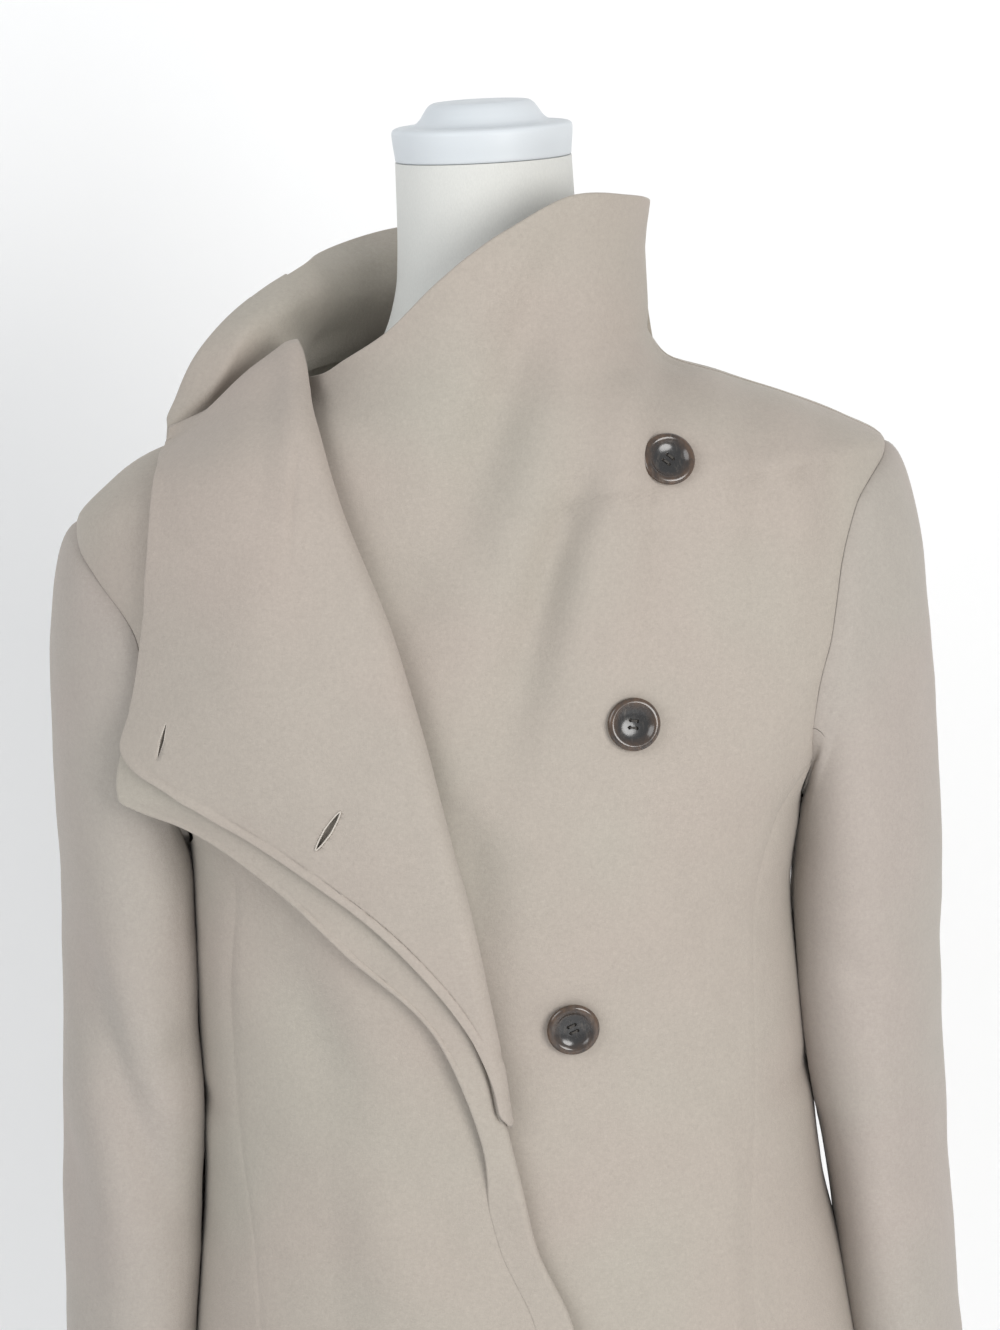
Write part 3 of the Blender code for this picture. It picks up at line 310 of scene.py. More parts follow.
def shell(name, P, mat, N=None, thick=CLOTH, rim=1.2, butt=(), flip=False):
    """Thin closed shell on a grid of points, with rounded edges; butt edges stay square."""
    P = np.asarray(P, float)
    rows, cols = P.shape[:2]
    if N is None:
        N = normals_of(P) * (-1 if flip else 1)
    ways, e = edge_distance(P, butt)
    t = np.clip(e / rim, 0, 1)
    h = np.asarray(thick) / 2 * np.sqrt(np.clip(1 - (1 - t) ** 2, 0, 1))
    h = np.where(e < 1e-6, 0, h)
    outer, inner = P + N * h[..., None], P - N * h[..., None]
    weld = h < 1e-9
    idx_o = np.arange(rows * cols).reshape(rows, cols)
    idx_i = np.where(weld, idx_o, -1)
    free = np.flatnonzero(~weld.reshape(-1))
    flat = idx_i.reshape(-1)
    flat[free] = rows * cols + np.arange(len(free))
    idx_i = flat.reshape(rows, cols)
    verts = np.concatenate([outer.reshape(-1, 3), inner.reshape(-1, 3)[free]]) * 0.001
    a, b, c, d = idx_o[:-1, :-1], idx_o[:-1, 1:], idx_o[1:, 1:], idx_o[1:, :-1]
    face_n = np.cross(P[1:, 1:] - P[:-1, :-1], P[1:, :-1] - P[:-1, 1:])
    right_way = np.sum(face_n * N[:-1, :-1]) > 0
    quad = lambda w: w if right_way else w[::-1]
    faces = np.stack(quad([a, b, c, d]), -1).reshape(-1, 4).tolist()
    a, b, c, d = idx_i[:-1, :-1], idx_i[:-1, 1:], idx_i[1:, 1:], idx_i[1:, :-1]
    faces += np.stack(quad([d, c, b, a]), -1).reshape(-1, 4).tolist()
    loop = ([(0, j) for j in range(cols)] + [(i, cols - 1) for i in range(1, rows)]
            + [(rows - 1, j) for j in range(cols - 2, -1, -1)] + [(i, 0) for i in range(rows - 2, 0, -1)])
    for p, q in zip(loop, loop[1:] + loop[:1]):
        f = [idx_o[q], idx_o[p], idx_i[p], idx_i[q]]
        f = [int(v) for k, v in enumerate(f) if v not in f[:k]]
        if len(f) > 2:
            faces.append(f if right_way else f[::-1])
    me = bpy.data.meshes.new(name)
    me.from_pydata(verts.tolist(), [], faces)
    me.validate()
    me.shade_smooth()
    if butt:
        me.set_sharp_from_angle(angle=math.radians(50))
    return add(name, me, mat)


def add(name, me, mat):
    ob = bpy.data.objects.new(name, me)
    me.materials.append(mat)
    bpy.context.scene.collection.objects.link(ob)
    return ob


def mid_area(P):
    """Area of a grid of points, in square metres."""
    f = np.cross(P[1:, 1:] - P[:-1, :-1], P[1:, :-1] - P[:-1, 1:])
    return float(np.linalg.norm(f, axis=-1).sum() / 2 * 1e-6)


def lines(table, per=6):
    """Each line of (x, z, height, half width) as a smooth run of short stretches."""
    out = []
    for line in table:
        q = np.array(line, float)
        t = np.arange(len(q))
        fine = np.linspace(0, len(q) - 1, per * (len(q) - 1) + 1)
        out.append(np.stack([curve(list(zip(t, q[:, k])), fine) for k in range(4)], -1))
    return out


def folds(a, b, table, per=6):
    """Height of soft folds at points a, b of a plane, in millimetres."""
    total = np.zeros(a.shape)
    for q in lines(table, per):
        best = np.full(a.shape, 1e9)
        here = np.zeros(a.shape)
        reach = 4 * q[:, 3].max()
        near = ((a > q[:, 0].min() - reach) & (a < q[:, 0].max() + reach) & (b > q[:, 1].min() - reach) & (b < q[:, 1].max() + reach))
        if not near.any():
            continue
        x, z = a[near], b[near]
        best, here = best[near], here[near]
        for p0, p1 in zip(q, q[1:]):
            d = p1[:2] - p0[:2]
            t = np.clip(((x - p0[0]) * d[0] + (z - p0[1]) * d[1]) / max(d @ d, 1e-9), 0, 1)
            r = np.hypot(x - p0[0] - t * d[0], z - p0[1] - t * d[1])
            k = r < best
            v = (p0[2] + (p1[2] - p0[2]) * t) * np.exp(-0.5 * (r / (p0[3] + (p1[3] - p0[3]) * t)) ** 2)
            best, here = np.where(k, r, best), np.where(k, v, here)
        total[near] += here
    return total


WAVES = np.random.RandomState(7)
WAVE_DIR = WAVES.normal(size=(40, 3))
WAVE_DIR /= np.linalg.norm(WAVE_DIR, axis=1, keepdims=True)
WAVE_AT = WAVES.uniform(0, 2 * math.pi, 40)
WAVE_LEN = np.concatenate([WAVES.uniform(70, 170, 14), WAVES.uniform(22, 48, 26)])


def uneven(P, big=0.55, small=0.10):
    """The slight unevenness of felted cloth."""
    out = np.zeros(P.shape[:-1])
    for k in range(40):
        amp = big / math.sqrt(7) if k < 14 else small / math.sqrt(13)
        out += amp * np.sin(2 * math.pi * (P @ WAVE_DIR[k]) / WAVE_LEN[k] + WAVE_AT[k])
    return out


def pucker(e, along, deep=0.35, reach=7.0):
    """Seam pull: the cloth dips to the seam, with uneven little gathers along it."""
    g = 0.5 + 0.5 * np.sin(along / 4.1 + 1.3 * np.sin(along / 17.0)) * np.sin(along / 9.7 + 0.8)
    return -deep * np.exp(-e / reach) * (0.55 + 0.45 * g) - 0.28 * np.exp(-(e / 2.2) ** 2)


# ---------------------------------------------------------------- materials
def new_material(name):
    m = bpy.data.materials.new(name)
    m.use_nodes = True
    nt = m.node_tree
    bsdf = nt.nodes["Principled BSDF"]
    return m, nt, bsdf


def noise(nt, coord, scale, detail=3.0, rough=0.55, stretch=None):
    src = coord
    if stretch:
        mp = nt.nodes.new("ShaderNodeMapping")
        mp.inputs["Scale"].default_value = stretch
        nt.links.new(coord, mp.inputs["Vector"])
        src = mp.outputs["Vector"]
    n = nt.nodes.new("ShaderNodeTexNoise")
    n.inputs["Scale"].default_value = scale
    n.inputs["Detail"].default_value = detail
    n.inputs["Roughness"].default_value = rough
    nt.links.new(src, n.inputs["Vector"])
    return n.outputs["Fac"]


def remap(nt, src, a, b, lo, hi):
    n = nt.nodes.new("ShaderNodeMapRange")
    n.inputs["From Min"].default_value = a
    n.inputs["From Max"].default_value = b
    n.inputs["To Min"].default_value = lo
    n.inputs["To Max"].default_value = hi
    nt.links.new(src, n.inputs["Value"])
    return n.outputs["Result"]


def math_node(nt, op, a, b):
    n = nt.nodes.new("ShaderNodeMath")
    n.operation = op
    for k, v in enumerate((a, b)):
        if isinstance(v, (int, float)):
            n.inputs[k].default_value = v
        else:
            nt.links.new(v, n.inputs[k])
    return n.outputs[0]


def mix_colour(nt, fac, a, b, kind="MIX"):
    n = nt.nodes.new("ShaderNodeMix")
    n.data_type = "RGBA"
    n.blend_type = kind
    for sock, v in ((n.inputs["Factor"], fac), (n.inputs["A"], a), (n.inputs["B"], b)):
        pass
    ins = {s.identifier: s for s in n.inputs}
    for key, v in (("Factor_Float", fac), ("A_Color", a), ("B_Color", b)):
        if isinstance(v, (int, float, tuple)):
            ins[key].default_value = v
        else:
            nt.links.new(v, ins[key])
    return [o for o in n.outputs if o.identifier == "Result_Color"][0]


def wool(name, warm, cool, dark=1.0):
    """Felted wool: faint warm and cool patches, a fine melange grain, and a short nap."""
    m, nt, b = new_material(name)
    tc = nt.nodes.new("ShaderNodeTexCoord").outputs["Object"]
    patch = remap(nt, noise(nt, tc, 8.0, 1.5), 0.38, 0.62, 0.0, 1.0)
    col = mix_colour(nt, patch, (*[c * dark for c in warm], 1), (*[c * dark for c in cool], 1))
    tint = remap(nt, noise(nt, tc, 46.0, 3.0), 0.3, 0.7, 0.985, 1.015)
    grain = remap(nt, noise(nt, tc, 420.0, 3.0, 0.6), 0.25, 0.75, 0.955, 1.045)
    fibre = remap(nt, noise(nt, tc, 1500.0, 2.0, 0.6, (1.0, 1.0, 0.35)), 0.25, 0.75, 0.965, 1.035)
    cross = remap(nt, noise(nt, tc, 1400.0, 2.0, 0.6, (0.3, 0.6, 1.0)), 0.25, 0.75, 0.965, 1.035)
    k = math_node(nt, "MULTIPLY", math_node(nt, "MULTIPLY", tint, grain), math_node(nt, "MULTIPLY", fibre, cross))
    v = nt.nodes.new("ShaderNodeCombineColor")
    for c in range(3):
        nt.links.new(k, v.inputs[c])
    col = mix_colour(nt, 1.0, col, v.outputs[0], "MULTIPLY")
    nt.links.new(col, b.inputs["Base Color"])
    nap = math_node(nt, "ADD", math_node(nt, "MULTIPLY", noise(nt, tc, 620.0, 4.0, 0.65), 0.6),
                    math_node(nt, "MULTIPLY", noise(nt, tc, 2100.0, 2.0, 0.6), 0.4))
    bump = nt.nodes.new("ShaderNodeBump")
    bump.inputs["Strength"].default_value = 0.55
    bump.inputs["Distance"].default_value = 0.0007
    nt.links.new(nap, bump.inputs["Height"])
    nt.links.new(bump.outputs["Normal"], b.inputs["Normal"])
    nt.links.new(remap(nt, noise(nt, tc, 300.0, 2.0), 0.3, 0.7, 0.90, 0.98), b.inputs["Roughness"])
    b.inputs["Specular IOR Level"].default_value = 0.18
    b.inputs["Sheen Weight"].default_value = 0.22
    b.inputs["Sheen Roughness"].default_value = 0.45
    b.inputs["Sheen Tint"].default_value = (0.95, 0.92, 0.88, 1)
    return m


WOOL_WARM, WOOL_COOL = (0.402, 0.353, 0.310), (0.392, 0.360, 0.312)
WOOL = wool("wool_body", WOOL_WARM, WOOL_COOL)
WOOL_SLEEVE = wool("wool_sleeve", (0.398, 0.352, 0.318), (0.388, 0.356, 0.318), 0.985)
WOOL_FACING = wool("wool_facing", (0.410, 0.356, 0.314), (0.400, 0.358, 0.314), 0.99)


# ---------------------------------------------------------------- camera, stage and light
def look(location, target):
    return (Vector(target) - Vector(location)).to_track_quat("-Z", "Y").to_euler()


PITCH, DISTANCE, VIEW_HEIGHT, TILT = math.radians(9.5), 2.6, 0.698, math.radians(3.0)
aim = Vector((-0.0053, -0.090, 1.2219))
eye = aim + DISTANCE * Vector((0, -math.cos(PITCH), math.sin(PITCH)))
ahead = (aim - eye).normalized()
side_way = Vector((1, 0, 0))
up_way = side_way.cross(ahead)
r2 = side_way * math.cos(TILT) - up_way * math.sin(TILT)
u2 = side_way * math.sin(TILT) + up_way * math.cos(TILT)
cam = bpy.data.objects.new("camera", bpy.data.cameras.new("camera"))
cam.data.lens = 36 * DISTANCE / VIEW_HEIGHT
cam.data.sensor_width = 36
cam.data.sensor_fit = "AUTO"
cam.data.clip_end = 50
bpy.context.scene.collection.objects.link(cam)
cam.matrix_world = Matrix(((r2.x, u2.x, -ahead.x, eye.x), (r2.y, u2.y, -ahead.y, eye.y), (r2.z, u2.z, -ahead.z, eye.z), (0, 0, 0, 1)))
bpy.context.scene.camera = cam


def lamp(name, location, target, size, power, colour=(1, 1, 1)):
    data = bpy.data.lights.new(name, "AREA")
    data.shape = "DISK"
    data.size = size
    data.energy = power
    data.color = colour
    ob = bpy.data.objects.new(name, data)
    ob.location = location
    ob.rotation_euler = look(location, target)
    bpy.context.scene.collection.objects.link(ob)


# light, and the stage: floor with a wall curving up behind
lamp("key", (1.5, -2.4, 1.55), (0, 0, 1.1), 1.5, 46, (1.0, 0.985, 0.965))
lamp("fill", (-1.9, -1.9, 2.3), (0, 0, 1.2), 1.8, 25, (0.96, 0.98, 1.0))
world = bpy.data.worlds.new("studio")
bpy.context.scene.world = world
world.use_nodes = True
world.node_tree.nodes["Background"].inputs[0].default_value = (0.97, 0.985, 1.0, 1)
world.node_tree.nodes["Background"].inputs[1].default_value = 0.62
bpy.context.scene.view_settings.view_transform = "Standard"
bpy.context.scene.view_settings.look = "None"

WALL_Y, BEND, WIDE = 0.62, 0.22, 4.0
profile = [(-4.0, 0.0), (WALL_Y - BEND, 0.0)]
profile += [(WALL_Y - BEND + BEND * math.sin(w), BEND - BEND * math.cos(w)) for w in np.linspace(0, math.pi / 2, 15)[1:]]
profile += [(WALL_Y, 3.2)]
me = bpy.data.meshes.new("studio_sweep")
me.from_pydata([(s * WIDE, y, z - 0.0004) for y, z in profile for s in (-1, 1)], [],
               [(2 * k, 2 * k + 1, 2 * k + 3, 2 * k + 2) for k in range(len(profile) - 1)])
me.shade_smooth()
m, nt, b = new_material("paper_white")
tc = nt.nodes.new("ShaderNodeTexCoord").outputs["Object"]
col = mix_colour(nt, noise(nt, tc, 3.0, 2.0), (0.90, 0.905, 0.91, 1), (0.915, 0.915, 0.915, 1))
nt.links.new(col, b.inputs["Base Color"])
b.inputs["Roughness"].default_value = 0.9
b.inputs["Specular IOR Level"].default_value = 0.1
add("studio_sweep", me, m)


# ---------------------------------------------------------------- folds, by x and z: height and half width of each
FOLDS_LEFT_FRONT = [
    [(35, 1432, -1.5, 11), (23, 1405, -4, 13), (9, 1372, -4.5, 13), (-6, 1336, -4, 13), (-21, 1295, -1.5, 12)],
    [(56, 1412, 0.5, 12), (41, 1377, 2, 13), (24, 1341, 2, 13), (6, 1300, 1.5, 13), (-6, 1259, 0.3, 12)],
    [(48, 1326, -0.8, 7), (37, 1303, -4.5, 8), (24, 1272, -5, 9), (13, 1239, -4, 10), (-1, 1197, -2.5, 11), (-8, 1166, -0.5, 11)],
    [(63, 1359, 0.5, 10), (51, 1318, 3, 11), (39, 1279, 3.2, 11), (31, 1238, 2.2, 12), (24, 1196, 0.5, 13)],
    [(76, 1388, 0.3, 10), (74, 1359, 2.2, 11), (71, 1307, 3.2, 12), (68, 1271, 3.2, 12), (62, 1229, 2.4, 13), (51, 1182, 0.5, 14)],
    [(83, 1374, -0.5, 6), (81, 1343, -1.8, 6.5), (77, 1286, -2.2, 7), (71, 1234, -1.6, 8), (62, 1192, -0.3, 9)],
    [(131, 1363, -0.3, 8), (132, 1329, -2, 9), (133, 1282, -2, 10), (126, 1234, -0.4, 10)],
    [(120, 1366, 0.3, 9), (120, 1324, 1.6, 10), (120, 1272, 0.8, 12)],
    [(172, 1341, -0.6, 8), (172, 1304, -1.6, 8), (162, 1257, -0.4, 8)],
    [(152, 1348, 0.4, 11), (153, 1301, 1.6, 12), (146, 1243, 0.4, 12)],
    [(88, 1377, -0.8, 7), (92, 1358, -1.8, 9), (100, 1339, -0.3, 9)],
    [(-29, 1158, -0.4, 10), (-24, 1126, -2.6, 12), (-19, 1094, -1.6, 12), (-14, 1062, -0.3, 11)],
    [(-52, 1295, -0.6, 10), (-49, 1268, -2.2, 12), (-44, 1237, -0.5, 12)],
    [(118, 1000, -0.3, 16), (110, 900, 1.6, 22), (96, 780, 3.0, 26), (88, 640, 4.0, 30), (84, 520, 4.5, 32)],
    [(64, 820, -0.3, 18), (56, 700, -2.4, 24), (52, 600, -3.4, 26), (50, 520, -3.8, 28)],
]
DART_LEFT = [[(33, 1376, -0.15, 1.5), (52, 1385, -0.5, 1.5), (72, 1393, -0.6, 1.5)]]
FOLDS_RIGHT_FRONT = [
    [(-124, 1020, 0.4, 14), (-108, 971, 2, 16), (-80, 914, 2.4, 16), (-56, 863, 1.5, 18), (-44, 800, 0.6, 20)],
    [(-140, 1113, -1, 10), (-127, 1064, -2.6, 14), (-108, 1020, -2.4, 15), (-98, 970, -1, 15)],
    [(-160, 1127, -0.5, 5), (-165, 1089, -1.6, 6), (-169, 1051, -0.8, 6)],
    [(-155, 1132, 0.6, 5), (-159, 1089, 1.4, 6), (-164, 1046, 0.6, 7)],
    [(-120, 860, 0.3, 20), (-116, 760, 2.4, 24), (-112, 640, 4.0, 28), (-110, 520, 4.8, 30)],
    [(-70, 800, -0.3, 18), (-66, 700, -2.2, 22), (-64, 600, -3.2, 25), (-62, 520, -3.6, 26)],
]
FLY_STITCH = [[(-55, 1004, -0.2, 1.3), (-53, 969, -0.45, 1.3), (-51, 944, -0.45, 1.3), (-41, 912, -0.45, 1.3),
               (-36, 880, -0.45, 1.3), (-33, 840, -0.45, 1.3), (-31, 700, -0.45, 1.3), (-30, 540, -0.3, 1.3)]]
FOLDS_LAPEL = [
    [(-101, 1394, 1.5, 6), (-105, 1365, 2.2, 6), (-109, 1328, 1.2, 7), (-112, 1291, 0.2, 7)],
    [(-116, 1377, -0.6, 9), (-121, 1340, -1.4, 10), (-122, 1304, -0.3, 10)],
    [(-150, 1335, -0.3, 18), (-157, 1286, -1.8, 20), (-169, 1233, -0.4, 18)],
    [(-131, 1307, 0.3, 20), (-139, 1255, 1.6, 22), (-148, 1202, 0.4, 22)],
    [(-92, 1260, -0.3, 16), (-87, 1205, -1.6, 18), (-81, 1154, -0.4, 18)],
]
DART_LAPEL = [[(-104, 1344, -0.6, 1.1), (-107, 1324, -1.4, 1.2), (-111, 1290, -0.8, 1.2)]]
FOLDS_SLEEVE_RIGHT_SIDE = [   # the sleeve on the viewer's right
    [(174, 1262, 0.4, 12), (180, 1186, 2.2, 13), (181, 1088, 3, 13), (182, 1016, 3, 13), (184, 963, 3.2, 13),
     (186, 909, 3.4, 13), (192, 859, 2.6, 13), (198, 790, 1.5, 13)],
    [(173, 1047, -0.4, 5), (183, 1036, -2, 6), (196, 1038, -0.3, 6)],
    [(212, 1216, -0.3, 12), (213, 1150, -1.6, 14), (212, 1084, -0.5, 12)],
    [(213, 973, -0.3, 10), (206, 934, -1.8, 11), (197, 890, -0.4, 10)],
]
FOLDS_SLEEVE_LEFT_SIDE = [
    [(-244, 1088, -0.6, 8), (-234, 1046, -3.6, 9), (-222, 1001, -4, 9), (-209, 958, -3.4, 10), (-195, 912, -1, 10)],
    [(-218, 1086, 0.5, 11), (-209, 1042, 3, 12), (-198, 997, 2.6, 12), (-187, 957, 0.8, 12)],
    [(-247, 1038, 0.5, 10), (-242, 999, 2, 11), (-231, 942, 2.2, 12), (-217, 888, 0.8, 12)],
    [(-258, 969, -0.5, 9), (-253, 918, -2.2, 10), (-247, 861, -1.5, 10), (-238, 790, -0.5, 12)],
    [(-179, 1032, -0.6, 7), (-193, 1010, -2, 8), (-207, 997, -0.4, 8)],
]
# the spread collar's finer lines: its hollow, the front of its rolled rim, the rim's top: share of the row, x, y, z
COLLAR_LINES = [
    [(0, -176, -26, 1349), (0.22, -158, -19, 1353), (0.44, -136, -13, 1364), (0.62, -113, -8, 1384), (0.8, -105, 1, 1389), (1, -101.5, 7.5, 1390)],
    [(0, -176, -19, 1353), (0.22, -151.5, -20, 1370), (0.44, -132, -16, 1395), (0.62, -120.5, -9, 1403), (0.8, -109.5, -2, 1408), (1, -101, 6, 1411)],
    [(0, -172.5, -12, 1358.5), (0.22, -160, -8, 1382), (0.44, -141.5, -2, 1402.5), (0.62, -129.5, 6, 1411), (0.8, -118, 13, 1418), (1, -109, 19, 1422.5)],
]
# hidden sides: back, by x and z; sleeve backs, by x and z
FOLDS_BACK = [
    [(-120, 1290, -0.5, 14), (-104, 1230, -3.2, 16), (-88, 1160, -3.6, 18), (-74, 1090, -2.2, 18), (-66, 1020, -0.5, 16)],
    [(112, 1300, -0.4, 14), (98, 1235, -2.8, 16), (84, 1170, -3.4, 17), (70, 1095, -1.8, 17), (60, 1030, -0.4, 15)],
    [(-70, 1330, 0.4, 16), (-52, 1260, 2.0, 20), (-40, 1180, 2.4, 22), (-34, 1100, 1.0, 20)],
    [(58, 1340, 0.4, 16), (44, 1268, 2.2, 20), (34, 1190, 2.0, 22), (30, 1110, 0.8, 20)],
    [(-8, 1350, -0.5, 12), (-10, 1290, -1.8, 16), (-12, 1220, -1.2, 18)],
    [(-96, 1010, -0.8, 9), (-40, 990, -2.2, 10), (20, 984, -2.4, 10), (76, 1002, -0.8, 9)],
    [(-104, 1040, 0.4, 10), (-46, 1018, 1.6, 11), (16, 1012, 1.6, 11), (80, 1030, 0.4, 10)],
    [(-120, 900, 0.6, 20), (-128, 780, 3.0, 26), (-134, 640, 5.0, 30), (-138, 520, 6.0, 32)],
    [(-60, 860, -0.5, 20), (-62, 740, -3.0, 26), (-64, 620, -4.6, 28), (-66, 520, -5.2, 30)],
    [(0, 880, 0.5, 22), (2, 760, 3.0, 28), (4, 640, 4.6, 30), (6, 520, 5.4, 32)],
    [(70, 850, -0.5, 20), (72, 730, -2.8, 26), (74, 610, -4.2, 28), (76, 520, -4.8, 30)],
    [(122, 890, 0.5, 20), (128, 770, 2.6, 26), (132, 640, 4.4, 30), (134, 520, 5.2, 32)],
]
SLEEVE_BACK_RIGHT_SIDE = [
    [(196, 1140, -0.5, 9), (206, 1080, -3.0, 11), (214, 1020, -2.6, 11), (220, 970, -0.6, 10)],
    [(222, 1060, 0.4, 11), (212, 1000, 2.2, 13), (204, 930, 2.4, 14), (202, 850, 1.2, 14)],
    [(186, 980, -0.4, 9), (200, 940, -2.6, 10), (216, 915, -1.8, 10), (226, 900, -0.4, 9)],
]
SLEEVE_BACK_LEFT_SIDE = [
    [(-220, 1150, -0.5, 9), (-228, 1085, -3.0, 11), (-236, 1020, -2.4, 11), (-242, 965, -0.6, 10)],
    [(-244, 1060, 0.4, 11), (-234, 1000, 2.0, 13), (-228, 930, 2.4, 14), (-228, 850, 1.0, 14)],
    [(-200, 990, -0.4, 9), (-214, 955, -2.4, 10), (-232, 930, -2.0, 10), (-248, 915, -0.4, 9)],
]

PIECES = {}   # piece name: mid-surface grid, for the cut sizes


def dress(ob, nodes):
    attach(ob, "root")
    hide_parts(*nodes)
    return ob


def pushed(P, N, d):
    return P + N * np.asarray(d)[..., None]


# ---------------------------------------------------------------- back
z = heights([HEM_Z, 1285, NECK_Z - SEAM_GAP / 2], [4.4, 2.0])
u = stations(500, 4.2)
e = edge_back(z)
a = trim(e, z, 1)
t = a[:, None] + (360 - 2 * a)[:, None] * u
P = ring_point(t, np.repeat(z[:, None], len(u), 1))
N = ring_normal(P)
ways, e = edge_distance(P, ("low",))
P = pushed(P, N, 1.7 * folds(P[..., 0], P[..., 2], FOLDS_BACK) * smooth(0, 30, e) + uneven(P) * smooth(0, 12, e) + pucker(e, P[..., 2] + P[..., 0], 0.25) * smooth(1312, 1296, P[..., 2]))
# centre back seam
P = pushed(P, N, -0.75 * np.exp(-((P[..., 0] + 11.5) / 1.3) ** 2) * np.ones(P.shape[:2]) - 0.5 * np.exp(-((P[..., 0] + 11.5) / 7.0) ** 2))
PIECES["coat_back"] = P
dress(shell("coat_back", P, WOOL, butt=("left", "right", "top"), flip=np.sum(normals_of(P) * N) < 0), ["coat_back"])

# ---------------------------------------------------------------- side panels
for side, name in ((1, "coat_side_left"), (-1, "coat_side_right")):
    zr = heights([HEM_Z, UNDERARM_Z], [4.4])
    u = stations(150, 4.2)
    col = 1 if side > 0 else 2
    tt, zz = [], []
    zn = zr[:, None] * np.ones(len(u))
    zz = zn.copy()
    for _ in range(8):
        a = trim(curve(SEAM_FRONT, zz, col), zz, 1)
        b = trim(curve(SEAM_BACK, zz), zz, -1)
        tt = a + (b - a) * u
        top = curve(ARM_UNDER, ARM_UNDER[0][0] + (ARM_UNDER[-1][0] - ARM_UNDER[0][0]) * u)
        zz = HEM_Z + (zn - HEM_Z) / (UNDERARM_Z - HEM_Z) * (top - HEM_Z)
    P = ring_point(tt * side, zz)
    N = ring_normal(P)
    ways, e = edge_distance(P, ("low",))
    w = 3.6 * smooth(1000, 560, P[..., 2]) * np.sin((P[..., 1] + 20) / 24.0 + side) - 2.0 * np.exp(-((P[..., 2] - 985 - 0.1 * P[..., 1]) / 9) ** 2)
    P = pushed(P, N, w * smooth(0, 34, e) + uneven(P) * smooth(0, 12, e) + pucker(e, P[..., 2]))
    PIECES[name] = P
    dress(shell(name, P, WOOL, butt=("left", "right", "top"), flip=np.sum(normals_of(P) * N) < 0), [name])

# ---------------------------------------------------------------- left front
z = heights([HEM_Z, 1285, COLLAR_TOP_Z], [4.2, 2.2])
u = stations(260, 3.4)
t, zz = [], []
for zn in z:
    s = max(0.0, (zn - FAN_Z) / (COLLAR_TOP_Z - FAN_Z))
    tr = trim(edge_front(np.float64(min(zn, COLLAR_TOP_Z)), 1), min(zn, 1400), -1)
    tl = curve(UNDERLAP, zn if zn <= FAN_Z else FAN_Z + 80 * s)
    tt = tr + (tl - tr) * u
    t.append(tt)
    zz.append(np.full(len(u), zn) if zn <= FAN_Z else FAN_Z + s * (curve(COLLAR_EDGE, tt) - FAN_Z))
t, zz = np.array(t), np.array(zz)
P = ring_point(t, zz)
N = ring_normal(P)
ways, e = edge_distance(P, ("low", "right"))
cover = curve([(520, 24), (871, 18), (978, -10), (1083, -28), (1243, -64), (1345, -94), (1377, -100), (1460, -110)], P[..., 2])
seen = smooth(-6, 14, P[..., 0] - cover)          # nothing stands out under the right front
f = 2.3 * folds(P[..., 0], P[..., 2], FOLDS_LEFT_FRONT)
f = np.where(f > 0, f * seen, f * (0.3 + 0.7 * seen))
d = f * smooth(0, 16, e) + folds(P[..., 0], P[..., 2], DART_LEFT) + (uneven(P) * seen - 0.4 * (1 - seen)) * smooth(0, 12, e)
seam = np.minimum(ways["left"], 1e9)
d = d + np.where(P[..., 2] < 1372 + 0.05 * P[..., 0], pucker(seam, P[..., 2]), 0)
P = pushed(P, N, d)
PIECES["coat_front_left"] = P
LEFT_P = P
dress(shell("coat_front_left", P, WOOL, butt=("left",), flip=np.sum(normals_of(P) * N) < 0), ["coat_front_left"])


# ---------------------------------------------------------------- right front
def off_body(t, zu):
    """Distance of the right front off the body, with no step at the shoulder."""
    tl = curve(UNDERLAP, zu)
    k = smooth(1255, SHOULDER_Z + 12, zu)
    return LAP * ((1 - k) * smooth(0, 1, (t - tl + 20) / 14) + k * smooth(0, 1, (t + 90) / 14))


